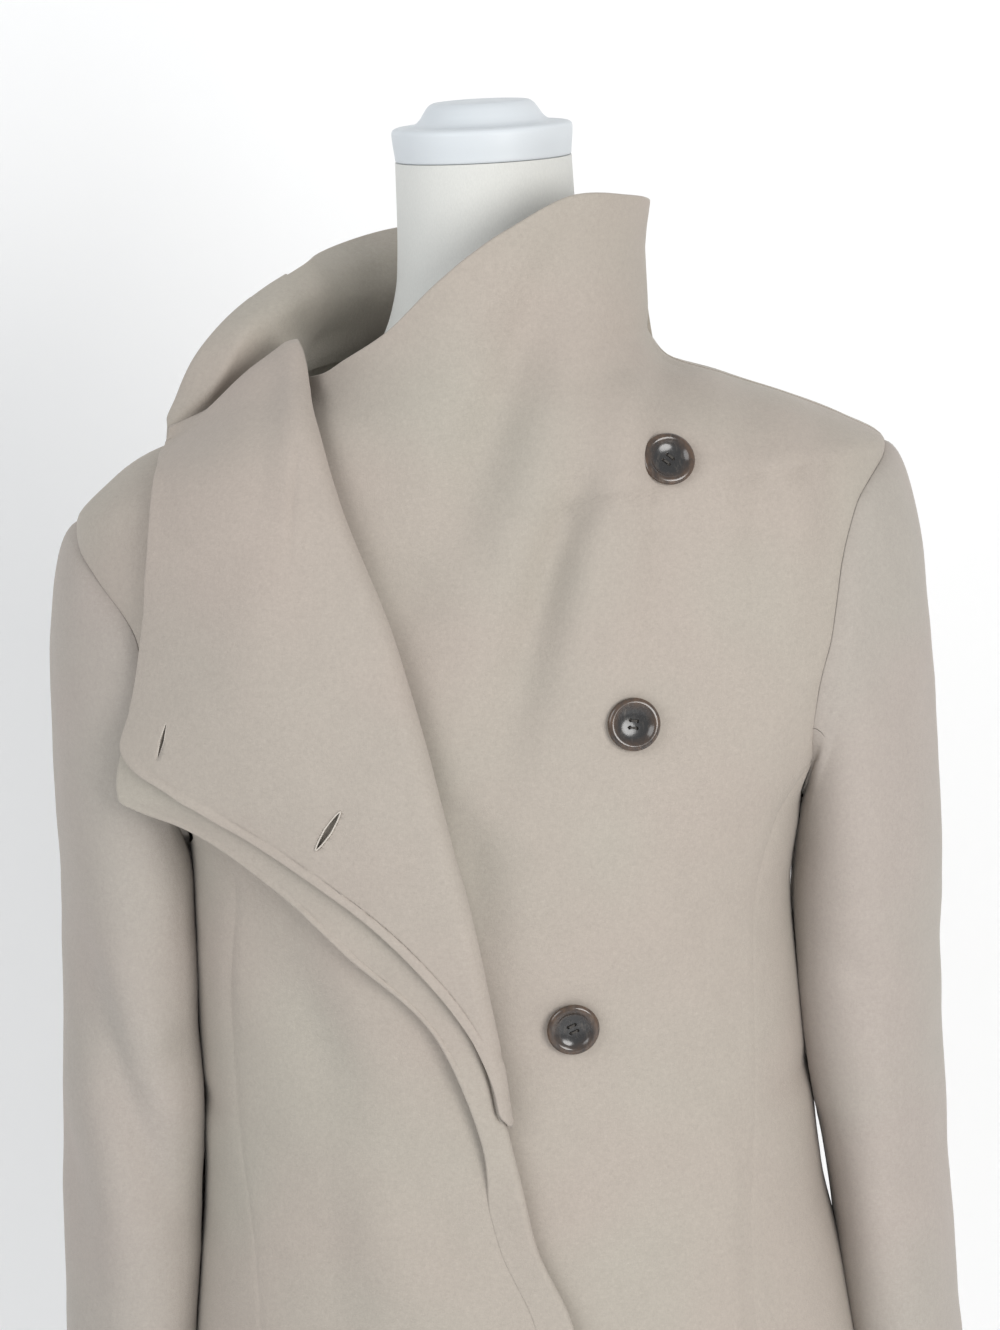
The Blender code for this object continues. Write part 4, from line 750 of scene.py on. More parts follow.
def right_rows(zus, u_body, roll_n, u_lap):
    """Rows of the right front: body, the roll, and the lapel out to its edge, for many heights at once."""
    zus = np.asarray(zus, float)
    ts = -trim(edge_front(zus, -1), zus, -1)
    xr = curve(ROLL, zus + sag(curve(ROLL, zus), zus))
    r = curve(ROLL_R, zus) * (0.85 + 0.15 * smooth(900, 960, zus))
    lo, hi = np.full(len(zus), -88.0), np.full(len(zus), 40.0)
    for _ in range(30):
        te = (lo + hi) / 2
        end = body(te, zus, LAP)
        less = end[:, 0] + (1 + ring_normal(end)[:, 0]) * r < xr
        lo, hi = np.where(less, te, lo), np.where(less, hi, te)
    n = ring_normal(end)
    n[:, 2] = 0
    n /= np.linalg.norm(n, axis=-1, keepdims=True)
    tang = np.stack([-n[:, 1], n[:, 0], np.zeros(len(n))], -1)
    t = ts[:, None] + (te - ts)[:, None] * u_body
    zz = zus[:, None] * np.ones(len(u_body))
    lift = curve(RISE, zus)[:, None] * smooth(-88, np.maximum(te, -80)[:, None], t)
    pts = body(t, zz, off_body(t, zz)) + lift[..., None] * np.array([0, 0, 1.0])
    end = pts[:, -1]
    edge = np.stack([curve(LAPEL, zus, k) for k in (1, 2, 3)], -1)
    belly = curve(LAPEL, zus, 4)
    sunk = smooth(972, 932, zus)          # below the lapel the turned edge melts into the front
    edge = edge + (end - tang * 17 + n * 0.1 - edge) * sunk[:, None]
    belly = belly * (1 - sunk)
    turn = np.full(len(zus), math.pi)
    around = lambda w: end + n * (r * (1 - np.cos(w)))[:, None] + tang * (r * np.sin(w))[:, None]
    for _ in range(4):
        first = around(turn)
        mid = (first + edge) / 2 - np.stack([0 * belly, 2 * belly, 0 * belly], -1)
        d = mid - first
        turn = np.arctan2(np.sum(d * n, -1), np.sum(d * tang, -1))
        turn = np.where(turn < 0, math.pi, np.maximum(1.2, turn))
    roll = [around(turn * k)[:, None] for k in np.linspace(0, 1, roll_n + 2)[1:-1]]
    s = u_lap[None, :, None]
    lap = (1 - s) ** 2 * first[:, None] + 2 * s * (1 - s) * mid[:, None] + s * s * edge[:, None]
    return np.concatenate([pts] + roll + [lap], 1)


ROLL_N = 9
u_body = stations(150, 3.4, True, False)
u_lap = stations(150, 3.0, False, True)
z_right = heights([HEM_Z, 860, 1300, NECK_Z], [4.6, 3.0, 2.2], top=False)
G = right_rows(z_right, u_body, ROLL_N, u_lap)
NB = len(u_body)
share = np.concatenate([1 + (PEAK_U + 0.06 - 1) * u_body, np.linspace(PEAK_U + 0.06, PEAK_U - 0.02, ROLL_N + 2)[1:-1],
                        (PEAK_U - 0.02) * (1 - u_lap)])
cols = np.arange(G.shape[1])
lapel_side = smooth(NB - 10, NB + 4, cols)
G[..., 2] -= 7.5 * smooth(-124, -160, G[..., 0]) * smooth(1335, 1376, z_right)[:, None] * lapel_side
nose = G[-1, NB + ROLL_N // 2]
blunt = 2.6 * np.exp(-(np.linalg.norm(G[-1] - nose, axis=-1) / 6.5) ** 2)      # the turned corner's top is blunt
G[..., 2] -= blunt * smooth(1374, 1393, z_right)[:, None]
neck_end = G[-1, 0].copy()
over = G[-1] + np.array([0, 4.0, -0.5]) * lapel_side[:, None]      # the lapel folds back here, over a soft ridge
floor, turned_rim, rim_top = (np.stack([curve(line, share, k) for k in (1, 2, 3)], -1) for line in COLLAR_LINES)
rim_back = rim_top + np.array([-1.5, 4.5, -3.5])
anchors = [G[-9], G[-7], over, floor, turned_rim, rim_top, rim_back, 2 * rim_back - rim_top]
counts = [6, 12, 12, 9, 8]
wing = []
for k in range(1, 6):
    p0, p1, p2, p3 = anchors[k - 1], anchors[k], anchors[k + 1], anchors[k + 2]
    seg = np.linalg.norm(p2 - p1, axis=-1, keepdims=True)
    unit = lambda a, b: (b - a) / np.maximum(np.linalg.norm(b - a, axis=-1, keepdims=True), 1e-6)
    m1, m2 = unit(p0, p2) * seg * 0.85, unit(p1, p3) * seg * 0.85
    vs = np.linspace(0, 1, counts[k - 1] + 1)[1:] if k < 5 else np.array([0.2, 0.4, 0.58, 0.72, 0.84, 0.93, 0.98, 1.0])
    for v in vs:
        wing.append((2 * v ** 3 - 3 * v * v + 1) * p1 + (v ** 3 - 2 * v * v + v) * m1 + (3 * v * v - 2 * v ** 3) * p2 + (v ** 3 - v * v) * m2)
G = np.concatenate([G[:-6], np.array(wing)])
GN = normals_of(G)
if GN[20, 20, 1] > 0:
    GN = -GN
ways, e = edge_distance(G, ("low",))
on_body = cols < NB
on_lapel = cols >= NB + ROLL_N // 2
x, z = G[..., 0], G[..., 2]
row_z = np.concatenate([z_right[:-6], np.linspace(1364, 1376, 7)[1:], np.full(sum(counts[1:]), 1400.0)])
first_row, last_row = int(np.argmax(row_z >= 977)), len(z_right) + counts[1] - 2      # the facing's rows, down into the hollow
cap = NB + ROLL_N // 2                                                               # the nose of the roll
arc = np.zeros((len(G), len(cols) - cap))
arc[:, 1:] = np.cumsum(np.linalg.norm(np.diff(G[:, cap:], axis=1), axis=-1), 1)
length = np.zeros(len(G))
for i in range(first_row, last_row + 1):
    fine = np.linspace(0, arc[i, -1], 500)
    fx, fz = np.interp(fine, arc[i], G[i, cap:, 0]), np.interp(fine, arc[i], G[i, cap:, 2])
    within = fine[fx > curve(FACING_EDGE, fz)]
    length[i] = min(max(within.max() if len(within) else 0, 2.5), arc[i, -1] - 1.3)
length[first_row:last_row + 1] = np.convolve(np.pad(length[first_row:last_row + 1], 4, "edge"), np.ones(9) / 9, "valid")
length *= 0.06 + 0.94 * smooth(974, 990, row_z)
d = np.zeros(G.shape[:2])
near_roll = smooth(0, 26, np.maximum(0, (G[:, NB - 1:NB, 0] - x)))      # stays clear of the left front below the roll
f = 1.4 * folds(x, z, FOLDS_RIGHT_FRONT)
hidden = smooth(1040, 1120, row_z)[:, None]
body_d = np.where(f > 0, f, f * near_roll) + np.abs(uneven(G)) * 0.5 + uneven(G) * 0.6 * near_roll + folds(x, z, FLY_STITCH, 10)
body_d = body_d * (1 - 0.75 * hidden)
d[:, on_body] = (body_d * smooth(0, 12, e))[:, on_body]
seam = ways["left"]
d[:, on_body] += (pucker(seam, z) * smooth(1312, 1296, row_z)[:, None])[:, on_body]
# on the lapel the cloth's face is turned over, so a ridge goes the other way
lap_d = 1.5 * folds(x, z, FOLDS_LAPEL) * (row_z < 1399)[:, None] + uneven(G) * 0.8
low_part = smooth(972, 932, row_z)[:, None]
d[:, on_lapel] = (-lap_d * smooth(0, 10, ways["right"]) * (1 - low_part) - body_d * low_part)[:, on_lapel]
# the slit along the facing's edge: the layer under it dips away
slit_deep = 0.6 + 2.4 * np.exp(-((row_z - 1004) / 26) ** 2)
arc_all = np.concatenate([np.zeros((len(G), cap)), arc], 1)
slit = slit_deep[:, None] * np.exp(-((arc_all - length[:, None] - 0.6) / 1.9) ** 2) * (smooth(978, 990, row_z) * smooth(1205, 1170, row_z))[:, None]
band = -0.6 * np.exp(-((ways["right"] - 2.2) / 1.7) ** 2) * (smooth(935, 985, row_z) * smooth(1215, 1180, row_z))[:, None] + 0.35 * np.exp(-((ways["right"] - 5.2) / 1.1) ** 2) * (smooth(985, 1030, row_z) * smooth(1215, 1180, row_z))[:, None]
d[:, on_lapel] += ((slit + band) * (row_z < 1399)[:, None])[:, on_lapel]
RP = pushed(G, GN, d)
PIECES["coat_front_right"] = RP
dress(shell("coat_front_right", RP, WOOL, flip=np.sum(normals_of(RP) * GN) < 0, butt=("left",)), ["coat_front_right"])

# ---------------------------------------------------------------- facing on the lapel, with its buttonholes
rows = np.arange(first_row, last_row + 1)
base, bn, zf = G[rows][:, cap:], -GN[rows][:, cap:], row_z[rows]
uf = stations(150, 2.6)
FP, FN = np.zeros((len(rows), len(uf), 3)), np.zeros((len(rows), len(uf), 3))
for i, row in enumerate(rows):
    for k in range(3):
        FP[i, :, k] = np.interp(uf * length[row], arc[row], base[i, :, k])
        FN[i, :, k] = np.interp(uf * length[row], arc[row], bn[i, :, k])
FN /= np.linalg.norm(FN, axis=-1, keepdims=True)
ways, e = edge_distance(FP)
r_in = ways["right"]
raised = (0.75 * smooth(8.2, 5.2, r_in) - 0.45 * np.exp(-((r_in - 8.0) / 1.0) ** 2)) * smooth(1200, 1165, FP[:, -1:, 2])
lap_d = (1.5 * folds(FP[..., 0], FP[..., 2], FOLDS_LAPEL) + folds(FP[..., 0], FP[..., 2], DART_LAPEL, 10)) * (zf < 1399)[:, None] + uneven(FP) * 0.8
FP = pushed(FP, FN, CLOTH + FACING_GAP * (0.35 + 0.65 * smooth(1230, 1180, FP[:, -1:, 2])) + raised * smooth(985, 1020, zf)[:, None] + lap_d * smooth(0, 10, r_in) + 0.3)
PIECES["coat_facing_right"] = FP
facing_ob = shell("coat_facing_right", FP, WOOL_FACING, flip=np.sum(normals_of(FP) * FN) < 0)


def lens(width, length, depth, seg=28):
    """A lens-shaped prism lying along x, pointing through y."""
    bm = bmesh.new()
    ring = []
    for k in range(seg):
        w = 2 * math.pi * k / seg
        c, s = math.cos(w), math.sin(w)
        ring.append((c * length / 2, np.sign(s) * abs(s) ** 1.35 * width / 2))
    lo = [bm.verts.new((x * 0.001, -depth * 0.0005, y * 0.001)) for x, y in ring]
    hi = [bm.verts.new((x * 0.001, depth * 0.0005, y * 0.001)) for x, y in ring]
    for k in range(seg):
        m = (k + 1) % seg
        bm.faces.new([lo[k], lo[m], hi[m], hi[k]])
    bm.faces.new(lo[::-1])
    bm.faces.new(hi)
    bmesh.ops.recalc_face_normals(bm, faces=bm.faces)
    return bm, ring


hole_rims = []
for k, (x0, z0, x1, z1) in enumerate(BUTTONHOLES):
    wide = (2.3, 3.3)[k]
    L = math.hypot(x1 - x0, z1 - z0)
    at = np.array([(x0 + x1) / 2, (z0 + z1) / 2])
    dist = np.hypot(FP[..., 0] - at[0], FP[..., 2] - at[1])
    i, j = np.unravel_index(np.argmin(dist), dist.shape)
    normal = Vector(FN[i, j])
    along = Vector((x1 - x0, 0, z1 - z0))
    along = (along - normal * along.dot(normal)).normalized()
    over = normal.cross(along)
    centre = Vector((at[0], FP[i, j, 1], at[1]))
    M = Matrix(((along.x, -normal.x, over.x, centre.x * 0.001), (along.y, -normal.y, over.y, centre.y * 0.001),
                (along.z, -normal.z, over.z, centre.z * 0.001), (0, 0, 0, 1)))
    bm, ring = lens(wide, L, 9)
    me = bpy.data.meshes.new("cut")
    bm.to_mesh(me)
    bm.free()
    cutter = bpy.data.objects.new("cut_%d" % k, me)
    bpy.context.scene.collection.objects.link(cutter)
    cutter.matrix_world = M
    mod = facing_ob.modifiers.new("hole_%d" % k, "BOOLEAN")
    mod.object = cutter
    mod.solver = "EXACT"
    bpy.context.view_layer.update()
    done = bpy.data.meshes.new_from_object(facing_ob.evaluated_get(bpy.context.evaluated_depsgraph_get()))
    facing_ob.modifiers.clear()
    facing_ob.data = done
    bpy.data.objects.remove(cutter, do_unlink=True)
    hole_rims.append((M, ring, CLOTH / 2, k))
dress(facing_ob, ["coat_facing_right"])

# buttonhole stitching: a close bead of thread round each slot
THREAD, nt, b = new_material("thread_wool_tone")
tc = nt.nodes.new("ShaderNodeTexCoord").outputs["Object"]
col = mix_colour(nt, noise(nt, tc, 1400.0, 2.0), (0.50, 0.45, 0.40, 1), (0.60, 0.555, 0.50, 1))
nt.links.new(col, b.inputs["Base Color"])
b.inputs["Roughness"].default_value = 0.7

THREAD_DARK, nt, b = new_material("thread_dark")
tc = nt.nodes.new("ShaderNodeTexCoord").outputs["Object"]
col = mix_colour(nt, noise(nt, tc, 1400.0, 2.0), (0.045, 0.040, 0.036, 1), (0.075, 0.068, 0.060, 1))
nt.links.new(col, b.inputs["Base Color"])
b.inputs["Roughness"].default_value = 0.8


def tube(bm, path, radius, seg=8, closed=False, twist=None):
    """A round tube along points; twist makes it rise and fall like wound thread."""
    n = len(path)
    rings = []
    for k in range(n):
        a = path[(k - 1) % n] if closed or k > 0 else path[k]
        b = path[(k + 1) % n] if closed or k < n - 1 else path[k]
        d = (b - a).normalized()
        ref = Vector((0, -1, 0)) if abs(d.y) < 0.9 else Vector((1, 0, 0))
        s = d.cross(ref).normalized()
        w = s.cross(d)
        r = radius * (1 + (twist[k] if twist is not None else 0))
        rings.append([bm.verts.new(path[k] + (s * math.cos(q) + w * math.sin(q)) * r) for q in
                      [2 * math.pi * i / seg for i in range(seg)]])
    span = range(n) if closed else range(n - 1)
    for k in span:
        lo, hi = rings[k], rings[(k + 1) % n]
        for i in range(seg):
            m = (i + 1) % seg
            bm.faces.new([lo[i], lo[m], hi[m], hi[i]])
    if not closed:
        bm.faces.new(rings[0][::-1])
        bm.faces.new(rings[-1])


bm = bmesh.new()
for M, ring, up, k in hole_rims:
    fine = []
    n = len(ring)
    for i in range(n * 6):
        a, b2 = ring[(i // 6) % n], ring[(i // 6 + 1) % n]
        f = (i % 6) / 6
        q = np.array(a) * (1 - f) + np.array(b2) * f
        r = np.hypot(*q) + 1e-6
        q = q * (1 + 0.35 / r)
        fine.append(M @ Vector((q[0] * 0.001, -(up + 0.05) * 0.001, q[1] * 0.001)))
    tube(bm, fine, 0.00042, 6, True, [0.22 * math.sin(i * 2.1) for i in range(len(fine))])
bmesh.ops.recalc_face_normals(bm, faces=bm.faces)
me = bpy.data.meshes.new("buttonhole_thread")
bm.to_mesh(me)
bm.free()
me.shade_smooth()
ob = add("buttonhole_thread", me, THREAD)
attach(ob, "root")

# ---------------------------------------------------------------- back collar
vh = stations(80, 3.4)
a, b = 90 + 0.12, 270 - 0.9
t = a + (b - a) * stations(270, 3.6)
low = ring_point(t, np.full(len(t), NECK_Z)) + np.array([0, 0, 0.25])
top = np.stack([curve(BACK_COLLAR, t, k) for k in (1, 2, 3)], -1)
BAND = [(0, 0), (0.35, 0.85), (0.6, 1.3), (0.8, 1.05), (1, -0.3)]      # how its wall stands in below the rolled rim
end_rows = len(z_right) - 1 + np.cumsum([0] + counts[1:4])          # where the spread collar's end column passes its lines
end_col = G[end_rows[0]:end_rows[3] + 1, 0]
end_arc = np.concatenate([[0], np.cumsum(np.linalg.norm(np.diff(end_col, axis=0), axis=-1))])
end_arc /= end_arc[-1]
leave = G[end_rows[0]:end_rows[3] + 1, 0] - G[end_rows[0]:end_rows[3] + 1, 3]      # the way the spread collar's rows end
leave /= np.linalg.norm(leave, axis=-1, keepdims=True)
run = 26 * np.tanh((b - t) * math.pi / 180 * 80 / 26)
P = []
for v in vh:
    p = low + (top - low) * v
    out = (p - np.array([-9.5, 0, 0])) * np.array([1, 1, 0])
    out /= np.linalg.norm(out, axis=-1, keepdims=True)
    p = p - out * (3.5 * math.sin(math.pi * v) + RIM_ROLL * float(curve(BAND, v)) * 1.25 * smooth(140, 205, t))[:, None]
    join = np.array([np.interp(v, end_arc, end_col[:, k]) for k in range(3)])
    away = np.array([np.interp(v, end_arc, leave[:, k]) for k in range(3)]) * float(smooth(0.05, 0.35, v))
    join = join + away * run[:, None]
    pull = smooth(215, 268, t)[:, None]
    P.append(p + (join + np.array([0, 0.03, 0]) - p) * pull)
P = np.array(P)
N = normals_of(P)
mid = P.mean((0, 1))
if np.sum(N * (P - np.array([-9.5, 0, 1410])) * np.array([1, 1, 0])) < 0:
    N = -N
ways, e = edge_distance(P)
P = pushed(P, N, uneven(P) * smooth(0, 10, e))
PIECES["coat_collar_back"] = P
dress(shell("coat_collar_back", P, WOOL, butt=("left", "low", "right"), flip=np.sum(normals_of(P) * N) < 0), ["coat_collar_back"])


# ---------------------------------------------------------------- sleeves
def loop_of(side):
    """The armhole as a fine closed loop, and the shares of its length where the two sleeve seams meet it."""
    col = 1 if side > 0 else 2
    za = np.linspace(SHOULDER_Z, 1172, 60)
    zb = np.linspace(1172, UNDERARM_Z, 10)[1:]
    back = [(float(curve(ARM_BACK, q)), q) for q in np.concatenate([za, zb])]
    ang = np.linspace(ARM_UNDER[-1][0], ARM_UNDER[0][0], 40)[1:-1]
    under = [(float(q), float(curve(ARM_UNDER, q))) for q in ang]
    zc = np.concatenate([np.linspace(UNDERARM_Z, 1172, 10), np.linspace(1172, SHOULDER_Z, 60)[1:]])
    front = [(float(curve(ARM_FRONT, q, col)), q) for q in zc]
    loop = np.array(back + under + front[:-1])
    p = ring_point(side * loop[:, 0], loop[:, 1])
    seg = np.linalg.norm(np.roll(p, -1, 0) - p, axis=-1)
    s = np.concatenate([[0], np.cumsum(seg)]) / seg.sum()
    i_back, i_front = len(za) - 1, len(back) + len(under) + 9
    n = ring_normal(p)
    d = np.roll(p, -2, 0) - np.roll(p, 2, 0)
    c = np.cross(d, n)
    c /= np.linalg.norm(c, axis=-1, keepdims=True)
    if np.sum((p.mean(0) - p) * c) < 0:
        c = -c
    return p, n, c, s, float(s[i_back]), float(s[i_front]), float(seg.sum())


def sleeve_grid(side, share, cap_v, rings_z):
    table = SLEEVE_RIGHT if side > 0 else SLEEVE_LEFT
    p0, n0, c0, s0, sb, sf, total = loop_of(side)
    at = np.mod(share, 1.0)
    pick = lambda q: np.stack([np.interp(at, s0, np.concatenate([q[:, k], q[:1, k]])) for k in range(3)], -1)
    p, n, c = pick(p0), pick(n0), pick(c0)
    n /= np.linalg.norm(n, axis=-1, keepdims=True)
    c /= np.linalg.norm(c, axis=-1, keepdims=True)
    a = 2 * math.pi * at
    lookup = table[::-1]

    def level(z):
        z = np.asarray(z, float)[:, None]
        xo, xi, yf, yb = (curve(lookup, z, k) for k in (1, 2, 3, 4))
        ca, sa = np.cos(a)[None], np.sin(a)[None]
        q = 2 / CUFF_SQUARE
        x = (xo + xi) / 2 + (xo - xi) / 2 * np.sign(ca) * np.abs(ca) ** q
        y = (yf + yb) / 2 + (yb - yf) / 2 * np.sign(sa) * np.abs(sa) ** q
        x = x + side * SLEEVE_TURN * (y - (yb + yf) / 2)
        return clear_of_body(np.stack([x, y, z + 0 * x], -1), SLEEVE_CLEAR)

    top = level([table[0][0]])[0]
    low = smooth(0.35, 0.9, -np.cos(a))[:, None]
    start = p + c * (0.45 - 0.9 * low)
    high = smooth(0.2, 1, np.cos(a))[:, None]
    square = 0.3 * high * (side < 0)
    lead = (0.55 - 0.17 * high) * c + (0.25 + 0.12 * high) * n + (0.6 + 0.25 * high + square) * np.array([side, 0, 0])
    lead = lead * (1 - low) + (0.35 * c + n) * low
    lead /= np.linalg.norm(lead, axis=-1, keepdims=True)
    gap = np.linalg.norm(top - start, axis=-1, keepdims=True)
    p1 = start + lead * (np.minimum(0.30 * gap, 17 + 4 * high + 12 * square) * (1 - low) + 9 * low)
    p2 = top + np.array([0, 0, 1.0]) * gap * 0.52
    v = np.asarray(cap_v)[:, None, None]
    cap = (1 - v) ** 3 * start + 3 * v * (1 - v) ** 2 * p1 + 3 * v * v * (1 - v) * p2 + v ** 3 * top
    late = smooth(0.25, 0.45, v)
    cap = cap + (clear_of_body(cap, SLEEVE_CLEAR) - cap) * late
    return np.concatenate([cap, level(rings_z)])


for side, name in ((1, "sleeve_left"), (-1, "sleeve_right")):
    p0, n0, c0, s0, sb, sf, total = loop_of(side)
    gap = 0.03 / total
    cap_v = stations(120, 3.4, True, False)
    table = SLEEVE_RIGHT if side > 0 else SLEEVE_LEFT
    rings = table[0][0] - (table[0][0] - 730.0) * stations(373, 4.0, False, True)[1:]
    front_table, back_table = ((FOLDS_SLEEVE_RIGHT_SIDE, SLEEVE_BACK_RIGHT_SIDE) if side > 0 else (FOLDS_SLEEVE_LEFT_SIDE, SLEEVE_BACK_LEFT_SIDE))
    for tag, s_from, s_to in (("under", sb + gap, sf - gap), ("upper", sf + gap, 1 + sb - gap)):
        width = (s_to - s_from) * total
        sh = s_from + (s_to - s_from) * stations(width, 3.6)
        wide = np.concatenate([[sh[0] - 2.0 / total], sh, [sh[-1] + 2.0 / total]])      # so that both pieces lean alike at their seams
        P = sleeve_grid(side, wide, cap_v, rings)
        N = normals_of(P)[:, 1:-1]
        P = P[:, 1:-1]
        centre = np.array([side * 1.0, 0, 0]) * 200
        if np.sum(N[-40:] * (P[-40:] - np.array([P[-40:, :, 0].mean(), 15, 0])) * np.array([1, 1, 0])) < 0:
            N = -N
        ways, e = edge_distance(P, ("top",))
        facing_front = smooth(-0.15, 0.45, -np.sin(2 * math.pi * sh))[None]
        facing_back = smooth(-0.15, 0.45, np.sin(2 * math.pi * sh))[None]
        x, z = P[..., 0], P[..., 2]
        d = 1.6 * folds(x, z, front_table) * facing_front + folds(x, z, back_table) * facing_back
        d = d * smooth(0, 14, np.minimum(ways["top"] * 9, ways["low"])) + uneven(P) * smooth(0, 12, ways["low"]) + pucker(ways["low"], np.arange(P.shape[1])[None] * 3.6, 0.4, 8) * (ways["low"] < 60)
        side_e = np.minimum(ways["left"], ways["right"])
        d = d + 0.4 * pucker(side_e, z, 0.2, 5) * smooth(20, 90, ways["low"])
        Q = pushed(P, N, d)
        keep = smooth(20, 40, ways["low"])[..., None]
        Q = Q + (clear_of_body(Q, SLEEVE_CLEAR) - Q) * keep
        PIECES["%s_%s" % (name, tag)] = Q
        dress(shell("%s_%s" % (name, tag), Q, WOOL_SLEEVE, rim=0.8, butt=("left", "right"), flip=np.sum(normals_of(Q) * N) < 0), ["%s_%s" % (name, tag)])

# ---------------------------------------------------------------- buttons
def horn_material(centre):
    """Polished horn: dark dish, browner toward the rim, with cloudy streaks."""
    m, nt, b = new_material("dark_horn")
    tc = nt.nodes.new("ShaderNodeTexCoord").outputs["Object"]
    sub = nt.nodes.new("ShaderNodeVectorMath")
    sub.operation = "DISTANCE"
    nt.links.new(tc, sub.inputs[0])
    sub.inputs[1].default_value = [c * 0.001 for c in centre]
    rim = remap(nt, sub.outputs["Value"], 0.0072, 0.0125, 0.0, 1.0)
    cloud = noise(nt, tc, 230.0, 4.0, 0.6, (1.0, 1.0, 0.45))
    k = math_node(nt, "MULTIPLY", rim, remap(nt, cloud, 0.35, 0.62, 0.25, 1.0))
    col = mix_colour(nt, k, (0.017, 0.016, 0.016, 1), (0.085, 0.050, 0.030, 1))
    streak = remap(nt, noise(nt, tc, 420.0, 3.0, 0.6, (1.0, 1.0, 0.3)), 0.55, 0.75, 0.0, 0.35)
    col = mix_colour(nt, streak, col, (0.15, 0.13, 0.11, 1))
    nt.links.new(col, b.inputs["Base Color"])
    nt.links.new(remap(nt, cloud, 0.3, 0.7, 0.14, 0.26), b.inputs["Roughness"])
    b.inputs["Specular IOR Level"].default_value = 0.55
    b.inputs["Coat Weight"].default_value = 0.35
    b.inputs["Coat Roughness"].default_value = 0.15
    return m


def turned_fine(name, profile, mat, seg, at=(0, 0, 0), aim=None, keep=None):
    """Fine turned solid from radius and height pairs."""
    bm = bmesh.new()
    rings = []
    for r, z in profile[1:-1]:
        rings.append([bm.verts.new(Vector((r * math.cos(2 * math.pi * k / seg), r * math.sin(2 * math.pi * k / seg), z)) * 0.001)
                      for k in range(seg)])
    for lo, hi in zip(rings, rings[1:]):
        for k in range(seg):
            m = (k + 1) % seg
            bm.faces.new([lo[k], lo[m], hi[m], hi[k]])
    for ring, z in ((rings[0], profile[0][1]), (rings[-1], profile[-1][1])):
        c = bm.verts.new((0, 0, z * 0.001))
        for k in range(seg):
            bm.faces.new([ring[k], ring[(k + 1) % seg], c])
    bmesh.ops.recalc_face_normals(bm, faces=bm.faces)
    turn = Matrix.Identity(3) if aim is None else Vector((0, 0, 1)).rotation_difference(Vector(aim)).to_matrix()
    M = Matrix.Translation(Vector(at) * 0.001) @ turn.to_4x4()
    if keep is None:
        bmesh.ops.transform(bm, matrix=M, verts=bm.verts)
    me = bpy.data.meshes.new(name)
    bm.to_mesh(me)
    bm.free()
    me.shade_smooth()
    me.set_sharp_from_angle(angle=math.radians(55))
    ob = add(name, me, mat)
    return ob, M


def rounded(profile, steps=5, skip=2):
    """A profile with its corners softened by a smooth curve through its points."""
    q = np.array(profile, float)
    arc = np.concatenate([[0], np.cumsum(np.hypot(*np.diff(q, axis=0).T))])
    fine = []
    for a, b in zip(arc, arc[1:]):
        fine += list(np.linspace(a, b, steps, endpoint=False))
    fine.append(arc[-1])
    r = curve(list(zip(arc, q[:, 0])), fine)
    z = curve(list(zip(arc, q[:, 1])), fine)
    return list(zip(r.tolist(), z.tolist()))


